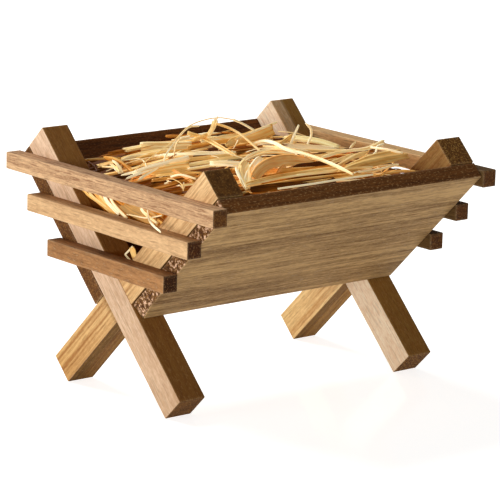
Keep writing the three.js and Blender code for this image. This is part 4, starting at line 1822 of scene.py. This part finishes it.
    def _ends(self) -> None:
        """The stalks that hang over the fill's two ends and show between the slats."""
        left, right = Sheaf(over=6, pitch=2.0), Sheaf(over=6, pitch=2.0)
        for n in range(self.end_stalks):
            tone = self.end_tones[n % len(self.end_tones)]
            y = self.left_row[0] - self.left_row[1] * n
            top, drop, width = swung(n, 78.5, 0.9, 2.1), swung(n, 7.0, 2.2, 1.3), swung(n, 1.7, 0.7, 1.7)
            route = [(-57.2, y + 11, top), (-59.3, y + 3, top - 0.35 * drop), (-59.8, y - 12, top - drop)]
            left.add(Stalk(route, width, tone=tone, turn=(55, 75), seed=self.end_seeds[0] + n))
            y = self.right_row[0] - self.right_row[1] * n
            top, drift, width = swung(n, 81.9, 0.6, 1.9), swung(n, 0.0, 2.5, 2.7), swung(n, 3.0, 0.9, 2.3)
            route = [(34, y - 1, 82.6), (48, y, top), (61, y + drift, 79.2)]
            right.add(Stalk(route, width, tone=tone, turn=(15, 25), seed=self.end_seeds[1] + n))
        self._finish(left, "straw_left_end")
        self._finish(right, "straw_right_end", self.end_numbers)

    def _leads(self) -> None:
        """The stalks and tufts that stand out of the fill, each a piece of its own."""
        seed = self.lead_seed
        for tuft in TUFTS:
            sheaf = Sheaf(over=8, pitch=1.4)
            for stalk in tuft.stalks:
                sheaf.add(replace(stalk, seed=seed))
                seed += 1
            self._finish(sheaf, tuft.name, tuft.numbers, tuft.body.value)

    def _arching_fibres(self) -> None:
        """Lays seeded fibres over the fill, each a little arched."""
        sheaf = Sheaf(over=2, pitch=2.0)
        dice = self.dice
        kind = self.fibres
        for n in range(kind.tries):
            length = dice.uniform(*kind.lengths)
            heading = math.radians(dice.uniform(-kind.heading, kind.heading))
            line = self._cast(kind, length, heading)
            rise, width, tone = (dice.uniform(*span) for span in (kind.rises, kind.widths, kind.tones))
            if not self.heap.inside(line, kind.room) or self.heap.in_corner(line):
                continue
            height = self.heap.rest(line, kind.room, kind.stiffness)
            if height is None:
                continue
            line[:, 2] = height + kind.gap + rise * np.cos(np.pi * np.linspace(-0.5, 0.5, len(line)))
            route = [tuple(p) for p in line]
            sheaf.add(Stalk(route, width, kind.thickness, tone, torn=kind.torn, seed=kind.first_seed + n))
        self._finish(sheaf, kind.name)


class Body(Enum):
    """The bodies that a stalk can ride on."""

    STRAW = "straw"
    MANGER = "manger"


@dataclass(frozen=True)
class Tuft:
    """One stalk, or a few that belong together, which stand out of the fill."""

    name: str
    stalks: tuple[Stalk, ...]
    numbers: tuple[int, ...] = ()
    body: Body = Body.STRAW


def stalk_node(number: int) -> str:
    """The name of a loose stalk's node."""
    return f"straw_stalk_{number:02d}"


def thread(route: Sequence[Point], width: float, tone: float = 0.1) -> Stalk:
    """A thin round fibre."""
    return Stalk(route, width, width * 0.8, tone, torn=(0.2, 0.2), curl=0.0, taper=(0.7, 0.5))


TUFTS = (
    Tuft("pale_stalk_frayed", (
        Stalk([(-53, 3.8, 84.6), (-45.5, 3.5, 86.2), (-27, 4.4, 87.8)],
              2.2, 1.5, -0.1, (5, 15), (0.8, 0.3), 0.0, taper=(0.7, 1)),
        Stalk([(-57.5, 2.4, 83.4), (-52, 2.6, 84.6), (-44, 3.2, 86)],
              1.2, 0.5, 0.05, (40, 60), (1.0, 0.3), taper=(0.3, 0.8)),
        Stalk([(-56.5, 6.2, 84), (-51, 4.8, 85), (-44, 3.6, 86.2)],
              1.1, 0.5, 0.08, (30, 60), (0.8, 0.3), taper=(0.3, 0.8)),
        Stalk([(-54, -0.5, 83), (-49, 1.8, 84), (-42, 3.3, 85.8)],
              1.0, 0.5, 0.12, (50, 60), (0.8, 0.3), taper=(0.2, 0.8)),
    ), (23,)),
    Tuft("golden_sheath", (
        Stalk([(-45, 4.2, 84), (-37, 1.2, 85), (-30.5, -1, 85.6)],
              4.4, 0.8, 0.45, (50, 62), (0.6, 0.3), 0.2, (0.6, 1)),
    )),
    Tuft("flat_block_stalk", (
        Stalk([(-19, 43.5, 84), (-10, 40.3, 84), (0, 36, 84)], 5.2, 1.0, 0.18, (60, 58), (0.3, 0.4)),
    )),
    Tuft("stacked_back_stalks", (
        Stalk([(-39, 30, 83.5), (-29, 31.3, 84.5), (-22, 22, 84.5)],
              1.4, 0.5, 0.1, (40, 30), taper=(0.4, 0.8)),
        Stalk([(-36, 27, 83), (-24, 27, 84.6), (-10, 24, 85)], 3.0, 0.6, 0.5, (40, 45), (0.8, 0.5)),
        Stalk([(5, 36, 85.3), (16, 37.5, 85.6), (26, 35, 86)], 2.1, 0.6, 0.2, (50, 55), (0.6, 0.8)),
        Stalk([(-5, 31, 84.5), (8, 30, 85.3), (22, 28, 86)], 2.8, 0.6, 0.55, (50, 55)),
    ), (30,)),
    Tuft("orange_end_stalk", (
        Stalk([(-43.8, 33, 84.6), (-44.2, 26.6, 85.2), (-47, 17, 85), (-50, 8.3, 84.2)],
              2.6, 1.0, 0.62, (-30, -35), (0.2, 0.8), 0.0, (1.0, 0.7)),
    ), (31,)),
    Tuft("shredded_left_tip", (
        Stalk([(-47, 24, 85.4), (-50.6, 16.8, 85.4), (-54, 10, 84.2)],
              2.2, 0.5, 0.14, (-20, -30), (0.8, 0.8), taper=(0.4, 0.8)),
        Stalk([(-50.5, 20.6, 85), (-52.8, 15.4, 84.8), (-55, 10, 84.2)],
              2.9, 0.5, 0.12, (-20, -30), (0.9, 0.9), 0.1, (0.5, 0.8)),
        thread([(-53.4, 22.6, 84), (-52.6, 18, 84.6), (-50.2, 14.6, 84.8)], 0.7, 0.1),
    )),
    Tuft("long_cream_stalk", (
        Stalk([(-26, 24, 85.2), (-18.6, 12.4, 87), (-7.5, 7.9, 87), (-2, 6.5, 86.6)],
              1.8, 0.7, 0.08, (35, 50), (1.6, 0.4), taper=(0.3, 1)),
        Stalk([(-26, 9, 85.8), (-15.4, 5.2, 86.6), (-4, 3.4, 86.6)], 1.9, 0.6, 0.42, (50, 50)),
        Stalk([(-30, 2, 85.6), (-18, -1, 86.6), (-6, -1, 86.8)], 1.7, 0.6, 0.3, (50, 50)),
        Stalk([(-32, -1.8, 85), (-24.7, -5, 86), (-15, -6, 86.6)], 1.5, 0.6, 0.25, (50, 50)),
    ), (15,)),
    Tuft("broken_front_bits", (
        Stalk([(-42.8, -18.4, 84.2), (-41, -10, 85), (-39.4, -2.6, 85.6)],
              1.5, 0.6, 0.66, (-20, -30), (0.6, 0.6)),
        Stalk([(-52, -6, 83.6), (-44, -9.6, 84.6), (-36, -11.6, 85)], 1.6, 0.5, 0.6, (40, 40), (0.8, 0.8)),
        Stalk([(-49, -12.6, 83.4), (-41, -15.8, 84.4), (-31, -16.4, 85)],
              1.3, 0.5, 0.75, (40, 40), (0.8, 0.8)),
        Stalk([(-46, -1.6, 84), (-39, -6.4, 85), (-33, -11, 85.4)], 1.4, 0.5, 0.5, (40, 30), (0.8, 0.8)),
        Stalk([(-47, -17.4, 83.2), (-38, -20.8, 84.2), (-29, -21, 84.8)],
              1.2, 0.5, 0.35, (40, 40), (0.8, 0.8)),
        Stalk([(-36, -14, 85.2), (-29, -13.4, 85.8), (-22, -15.4, 86)],
              1.2, 0.5, 0.7, (45, 40), (0.8, 0.8)),
        thread([(-45.6, -9, 84.8), (-43.4, -12.6, 86), (-40.6, -17.6, 85)], 0.8, 0.1),
    ), (20,)),
    Tuft("pale_block_stalk", (
        Stalk([(-27.4, -9.4, 88), (-21.9, -12.9, 88), (-15, -14.6, 87)],
              2.5, 1.3, 0.1, (50, 50), (0.2, 0.6)),
    )),
    Tuft("orange_diagonal", (
        Stalk([(-10.4, 25.4, 92.2), (-5, 20, 89.8), (-6, 2, 86.6)], 2.1, 0.8, 0.42, (40, 20), (0.3, 0.8)),
    ), (24,)),
    Tuft("folded_upright", (
        Stalk([(-2, 19, 97.4), (-2.9, 19.6, 94), (-4.4, 20.4, 91.4)], 2.4, 0.8, 0.28, (80, 70), (0.8, 0.3)),
        Stalk([(-4.2, 20.6, 91.8), (-7, 21.5, 90.8), (-10, 22.8, 89.8)],
              2.2, 0.8, 0.45, (60, 40), (0.3, 0.8)),
        thread([(-1.3, 18.6, 98.9), (-1.9, 18.9, 97), (-2.4, 19.2, 95)], 0.6, 0.05),
    )),
    Tuft("square_cut_blade", (
        Stalk([(7.4, 23.5, 86), (16.8, 24, 87), (25.2, 25, 88), (33, 26, 89.4)],
              4.8, 0.8, 0.52, (60, 72), (0.6, 0.2), 0.16, (0.45, 1)),
        Stalk([(11.4, 23, 88), (23.1, 24.6, 89.8), (35.4, 27, 91.6)],
              1.0, 0.5, 0.15, (60, 72), (0.4, 0.6), taper=(0.4, 0.7)),
    ), (19,)),
    Tuft("long_pale_ribbon", (
        Stalk([(5, 4.1, 90), (8.1, 2.3, 91), (8.2, -3.9, 91.2), (5.3, -15.6, 90.7),
               (7.4, -22.5, 90.2), (5.5, -39.1, 89.7), (4, -54, 88.2)],
              1.7, 0.9, 0.12, (15, 30), (0.5, 1.0), taper=(0.4, 0.4)),
        Stalk([(6, 0, 89.6), (9, -8, 90.2), (9.4, -18, 90), (8.4, -25, 89.8)],
              1.0, 0.6, 0.3, (20, 40), taper=(0.3, 0.6)),
    ), (25,)),
    Tuft("peach_arch", (
        Stalk([(-30, -38, 87.8), (-24.2, -34.6, 89.6), (-17, -30.8, 90.3), (-8.3, -27, 89.8),
               (0.1, -24, 88.8), (8.3, -22, 87.2), (14.9, -22, 85)],
              4.9, 0.7, 0.36, (52, 50), (0.9, 0.8), 0.12, (0.8, 0.35), tint=-0.9),
        Stalk([(-13.5, -32.3, 85.6), (-10.4, -30.6, 86.6), (-7.2, -29.4, 87.1)],
              4.2, 0.6, 0.42, (66, 60), (0.5, 0.8), 0.1, tint=-0.9),
        # A broad dark brown stalk under the arch, painted dark as the shade beneath it.
        Stalk([(-3, -29, 85.2), (6.5, -27, 85.4), (18, -26, 84.8)], 5.0, 0.6, 1.1, (64, 64)),
    ), (17,)),
    Tuft("grey_arches", (
        Stalk([(-15.3, -10.8, 86), (-4.6, -5.4, 88.2), (4.7, -4.6, 89.2),
               (9.9, -6.7, 89.2), (16, -10.2, 88)],
              1.1, 0.5, 0.12, (40, 40), taper=(0.4, 0.4)),
        Stalk([(-18, -14, 86), (-8, -9.5, 88), (2, -8.6, 88.8), (12, -11.5, 88)],
              0.9, 0.5, 0.2, (40, 40), taper=(0.4, 0.4)),
    )),
    Tuft("crinkled_sheath", (
        Stalk([(-38.6, -44, 85.7), (-36.5, -38, 88.5), (-34.1, -32.6, 91)],
              1.2, 0.6, 0.05, (0, 10), (0.3, 0.8), 0.1, (0.5, 0.6)),
        Stalk([(-38.6, -44, 85.7), (-34, -37.6, 88), (-28.6, -31, 90.2), (-24, -27.4, 91)],
              5.0, 0.6, 0.26, (25, 25), (0.3, 1.6), 0.15, (0.25, 0.9)),
        Stalk([(-37.6, -43, 85.9), (-29, -34.6, 88.2), (-20, -27.4, 90.2), (-13.6, -22.6, 90.8)],
              3.6, 0.7, 0.12, (20, 40), (0.3, 1.2), 0.15, (0.3, 0.7)),
        Stalk([(-38.2, -43.8, 86), (-34.5, -36.5, 88.8), (-30.5, -31.2, 91)],
              0.9, 0.6, 0.3, (0, 10), (0.3, 0.8), 0.1, (0.4, 0.6)),
    ), (22,)),
    Tuft("brown_front_stalks", (
        Stalk([(-19.4, -26.5, 86.5), (-7.8, -31.7, 87), (10.3, -40.3, 87)], 2.8, 0.7, 0.5, (45, 40)),
        Stalk([(-35.7, -41.1, 86), (-14.5, -39.4, 87), (7.4, -41.1, 87.2)],
              3.0, 0.7, 0.4, (50, 40), tint=0.2),
        Stalk([(-32, -40.2, 85.6), (-14.5, -43.6, 86.2), (8, -45.6, 86.2)], 2.8, 0.7, 0.86, (55, 50)),
        Stalk([(-38, -46.2, 85.6), (-21.7, -49, 86.1), (-2, -51, 86.1)], 2.8, 0.7, 1.0, (55, 50)),
        Stalk([(-37, -42.4, 86.6), (-18, -42.6, 87.6), (4, -44.4, 87.6)], 0.9, 0.5, 0.2, (50, 50)),
        Stalk([(-35, -44.6, 86.2), (-14, -46.6, 87), (12, -48, 86.8)], 1.1, 0.5, 0.55, (50, 50)),
        Stalk([(-30, -38.4, 87), (-12, -36.4, 88), (8, -37.6, 88.2)], 1.0, 0.5, 0.6, (50, 50)),
        Stalk([(-26, -48, 86), (-8, -50.2, 86.6), (14, -50.4, 86.6)], 0.9, 0.5, 0.4, (50, 50)),
        Stalk([(-12, -41, 87.4), (6, -43.6, 88), (22, -44.6, 87.4)], 0.8, 0.5, 0.25, (50, 50)),
    ), (26, 27, 28)),
    Tuft("pale_board_strand", (
        thread([(-30, -51.6, 86.2), (-17.2, -54.4, 86.9), (-1.4, -54, 87), (15, -52.8, 86.7)], 0.75, 0.0),
        thread([(9.8, -48, 87), (25.1, -44.2, 86.1), (41.6, -38, 85.1)], 0.8, 0.05),
    )),
    Tuft("chipped_green_stalk", (
        Stalk([(37, 21.5, 86.4), (40.5, 15.2, 86.4), (43.6, 10, 85.8), (47, 2.5, 84.4)],
              3.2, 1.1, 0.1, (35, 25), (2.4, 0.3), tint=0.85),
    ), (18,)),
    Tuft("orange_by_green", (
        Stalk([(21.2, 8.9, 86.6), (29, 13, 87.4), (36.3, 17, 88)],
              2.2, 0.6, 0.5, (50, 50), taper=(0.5, 0.8)),
    )),
    Tuft("thin_upright", (thread([(29.6, 12, 83.7), (32.3, 13, 88), (36, 14, 92.6)], 0.95, 0.05),)),
    Tuft("curly_upright", (
        thread([(38.6, 12, 82.3), (39.3, 12, 85.4), (40.8, 12, 87.7), (40.6, 12, 91), (37.8, 12, 93.4)],
               0.9, 0.0),
    )),
    Tuft("square_ended_bundle", (
        Stalk([(6.9, -43.6, 86.6), (20.9, -39.1, 87), (36.8, -35.5, 87), (51.2, -32.3, 86.5)],
              3.6, 1.4, 0.52, (50, 48), (0.5, 0.3), tint=0.35),
        Stalk([(15.3, -38.4, 87.2), (33, -32, 88), (50.8, -28.6, 87.8)],
              2.2, 1.0, 0.42, (50, 45), (0.5, 0.3), tint=0.3),
    ), (16, 29)),
    Tuft("right_crossing_stalks", (
        thread([(42.6, -20.9, 88.8), (44.2, -27.8, 89), (48.5, -32.6, 88)], 1.0, 0.08),
        Stalk([(20.6, -17.7, 86.6), (31.3, -16.5, 87.5), (43.4, -18.5, 88), (51.4, -18.6, 90)],
              1.6, 0.6, 0.2, (45, 60), taper=(0.5, 0.9)),
        Stalk([(12, -35.8, 87), (26.9, -27.8, 87.6), (38.1, -23.8, 88)],
              1.7, 0.6, 0.35, (45, 45), taper=(0.5, 0.5)),
        Stalk([(16, -27.6, 86.5), (33.6, -20.9, 87)], 1.5, 0.5, 0.25, (45, 45), tint=0.3),
        thread([(50.3, 0, 83.1), (52.7, 1, 84.7), (55.4, 2, 85.9)], 1.1, 0.1),
        thread([(36.2, -28.3, 87), (41, -25.7, 88.2), (44.7, -22.2, 89.2), (48.6, -21.7, 89.6)], 0.8, 0.0),
    ), (21,)),
    Tuft("high_arching_fibre", (
        thread([(-49.5, 8, 84.5), (-38.2, 10, 89.4), (-27.7, 12, 93.2), (-20.5, 13, 97.5),
                (-12.7, 13, 99.4), (-5.7, 12, 99.8), (0.2, 10, 98.7)],
               0.4, 0.3),
        thread([(-0.6, 10.2, 98.9), (3.8, 9.4, 96.9), (8.4, 8, 94.1)], 0.85, 0.15),
    )),
    Tuft("rising_fibre", (
        thread([(-37.2, 6, 86.2), (-34.6, 8, 89), (-27.7, 12, 92.2), (-18.1, 16, 96.4), (-9.3, 20, 95.7)],
               0.7, 0.1),
        thread([(-27.8, 12, 87), (-25.2, 13, 92.4), (-17.7, 15, 92.7)], 0.6, 0.1),
    )),
    Tuft("crossing_fibre", (
        thread([(-2.6, 18, 96.3), (0.6, 14, 94.9), (2, 9, 93.2), (2.9, 4, 90.8), (4.3, -1, 87.7)],
               0.95, 0.2),
    )),
    Tuft("pale_leaf_by_slat", (
        Stalk([(-44, -3, 80.6), (-41.8, -5.4, 81.2), (-43, -14.5, 80.4)],
              2.4, 0.5, 0.12, (-35, -50), (0.8, 0.8), 0.25, (0.3, 0.4)),
        thread([(-41.1, 0, 82.6), (-43.1, -8, 80.4), (-40.6, -12, 79.7)], 0.7, 0.05),
        thread([(-43.8, -14.9, 80), (-45.8, -17.2, 84)], 0.9, 0.2),
    )),
    Tuft("thin_level_stalk", (
        Stalk([(-48.2, 40.4, 83), (-44.3, 38, 83.4), (-36, 34, 83.6)],
              0.9, 0.7, 0.84, (0, 0), (0.2, 0.2), 0.0, tint=0.45),
    )),
    Tuft("stalks_between_slats", (
        Stalk([(-57, 30, 77.5), (-60.4, 22.6, 74.6), (-60.9, 12.3, 72.4), (-61.1, 3.3, 70.4)],
              1.1, 0.6, 0.42, (65, 75), (0.8, 0.6)),
        Stalk([(-57, 27.5, 77.8), (-60.5, 19.6, 74.6), (-61, 9.3, 72)],
              1.0, 0.6, 0.25, (65, 75), (0.8, 0.6), tint=0.4),
        Stalk([(-57.5, 24, 78), (-60.6, 15.4, 74.6), (-61, 3, 70.9)], 1.1, 0.6, 0.5, (65, 75)),
        Stalk([(-57.5, 21, 78), (-60.7, 12.8, 74.6), (-61.2, 2.4, 71)], 0.9, 0.6, 0.3, (65, 75)),
        Stalk([(-58, 17, 78.5), (-60.9, 9.6, 74.5), (-61.3, 1.4, 70.8)], 1.3, 0.6, 0.05, (65, 75)),
        Stalk([(-58, 13, 79), (-60.9, 5.9, 74.6), (-61.3, -3.3, 70.2)], 1.1, 0.6, 0.1, (65, 75)),
        Stalk([(-58.5, 8, 76), (-60.2, -4, 73.8), (-60.6, -20, 72.3)], 4.4, 0.7, 0.8, (70, 75), tint=0.35),
        Stalk([(-58.5, -6, 76.5), (-60.8, -13, 74), (-61, -21, 71.6)], 1.1, 0.6, 0.2, (65, 75)),
    )),
    Tuft("fibre_over_slat", (
        thread([(-60, -14.2, 75.4), (-62, -17, 73.4), (-68, -27.1, 73.2), (-70, -34.8, 71.9)], 0.8, 0.0),
        thread([(-61, -3.2, 71.5), (-61.4, -15.2, 72.4), (-61, -23.9, 74.9)], 0.5, 0.1),
    ), body=Body.MANGER),
    Tuft("folded_bit_in_trough", (
        Stalk([(-58, -2.8, 58.6), (-58, -4, 56.4), (-58, -5.2, 53.6)],
              2.4, 0.5, 0.45, (78, 80), (0.4, 0.5), 0.2),
        thread([(-58, -3, 59), (-58, -0.9, 57), (-58, 1.5, 55)], 0.7, 0.0),
        thread([(-58, 1.5, 55), (-58, -0.4, 54), (-58, -2.2, 53.1)], 0.7, 0.0),
    ), body=Body.MANGER),
)


# Studio


@dataclass(frozen=True)
class Lamp:
    """An oblong soft lamp. Its place and size are in metres and its power in watts."""

    name: str
    place: Point
    size: Pair
    power: float
    colour: Point = (1.0, 0.98, 0.95)


@dataclass
class Studio:
    """The camera, the lamps, the floor and the pale surroundings.

    Angles are in degrees, and the camera's distance and shift in millimetres. The focal length is in
    pixels of the square picture. The floor and what the lamps face are in metres.
    """

    azimuth: float = -40.039
    elevation: float = 13.024
    roll: float = 1.620
    distance: float = 1092.125
    shift: Pair = (2.205, 48.382)
    focal_pixels: float = 2820.763
    picture: float = 500.0
    sensor: float = 36.0
    clip: Pair = (0.05, 20.0)

    lamps: tuple[Lamp, ...] = (
        Lamp("side_lamp", (-2.3, -0.25, 0.33), (2.8, 0.6), 40.0),
        Lamp("back_lamp", (-0.2, 1.5, 1.6), (1.4, 0.8), 44.0),
    )
    aim: Point = (0.0, 0.0, 0.05)

    floor_half: float = 6.0
    floor_colour: Colour = (0.86, 0.86, 0.86, 1.0)
    floor_roughness: float = 0.12
    floor_specular: float = 0.25
    floor_glow: float = 0.3
    floor_seen_glow: float = 0.5
    sky: Colour = (1.0, 0.96, 0.9, 1.0)
    sky_strength: float = 0.13
    seen_strength: float = 1.0

    def build(self) -> None:
        """Makes everything that isn't part of the manger."""
        self._camera()
        self._floor()
        self._world()
        for lamp in self.lamps:
            self._lamp(lamp)

    def _camera(self) -> None:
        """The photograph's own viewpoint."""
        a, e, r = (math.radians(v) for v in (self.azimuth, self.elevation, self.roll))
        back = Vector((math.sin(a) * math.cos(e), -math.cos(a) * math.cos(e), math.sin(e)))
        level = Vector((math.cos(a), math.sin(a), 0.0))
        rise = back.cross(level)
        right = level * math.cos(r) + rise * math.sin(r)
        up = rise * math.cos(r) - level * math.sin(r)
        place = (right * self.shift[0] + up * self.shift[1] + back * self.distance) * MM
        data = bpy.data.cameras.new("camera")
        data.sensor_width = self.sensor
        data.lens = self.focal_pixels * self.sensor / self.picture
        data.clip_start, data.clip_end = self.clip
        camera = add_object("camera", data)
        camera.matrix_world = Matrix.Translation(place) @ Matrix((right, up, back)).transposed().to_4x4()
        bpy.context.scene.camera = camera

    def _floor(self) -> None:
        """A white floor that keeps the manger's shadow and a faint reflection."""
        half = self.floor_half
        mesh = bpy.data.meshes.new("floor")
        corners = [(-half, -half, 0), (half, -half, 0), (half, half, 0), (-half, half, 0)]
        mesh.from_pydata(corners, [], [(0, 1, 2, 3)])
        sheet = NodeSheet(bpy.data.materials.new("white_floor"))
        seen = sheet.node("ShaderNodeLightPath", output="Is Camera Ray")
        inputs = {
            "Base Color": self.floor_colour, "Roughness": self.floor_roughness,
            "Specular IOR Level": self.floor_specular,
        }
        matt = sheet.node("ShaderNodeBsdfPrincipled", None, inputs)
        strength = seen * self.floor_seen_glow + self.floor_glow
        glow = sheet.node("ShaderNodeEmission", None, {"Color": (1.0, 1.0, 1.0, 1.0), "Strength": strength})
        mesh.materials.append(sheet.close(sheet.node("ShaderNodeAddShader", None, {0: matt, 1: glow})))
        add_object("floor", mesh)

    def _world(self) -> None:
        """Soft warm light from all round, and a pale grey where the camera sees past the floor."""
        sheet = NodeSheet(bpy.data.worlds.new("surroundings"))
        seen = sheet.node("ShaderNodeLightPath", output="Is Camera Ray")
        soft = sheet.node("ShaderNodeBackground", None, {"Color": self.sky, "Strength": self.sky_strength})
        pale = sheet.node("ShaderNodeBackground", None, {"Strength": self.seen_strength})
        mixed = sheet.node("ShaderNodeMixShader", None, {0: seen, 1: soft, 2: pale})
        bpy.context.scene.world = sheet.close(mixed)

    def _lamp(self, lamp: Lamp) -> None:
        """Adds a lamp that faces the manger.

        Args:
            lamp: Its place, size, power and colour.
        """
        data = bpy.data.lights.new(lamp.name, "AREA")
        data.shape = "RECTANGLE"
        data.size, data.size_y = lamp.size
        data.energy, data.color = lamp.power, lamp.colour
        placed_lamp = add_object(lamp.name, data)
        placed_lamp.location = lamp.place
        placed_lamp.rotation_mode = "QUATERNION"
        placed_lamp.rotation_quaternion = (Vector(self.aim) - Vector(lamp.place)).to_track_quat("-Z", "Y")


def main() -> None:
    """Builds the manger and its studio, piece by piece."""
    logging.basicConfig(level=logging.INFO, format="%(name)s: %(message)s")
    bpy.context.scene.view_settings.view_transform = "Standard"
    wood = Woodwork()
    for part in (Legs(wood), SideBoards(wood), Slats(wood), FloorStrip(wood), StrawFill(wood), Studio()):
        part.build()
        log.info("%s built", type(part).__name__)


if __name__ == "__main__":
    main()
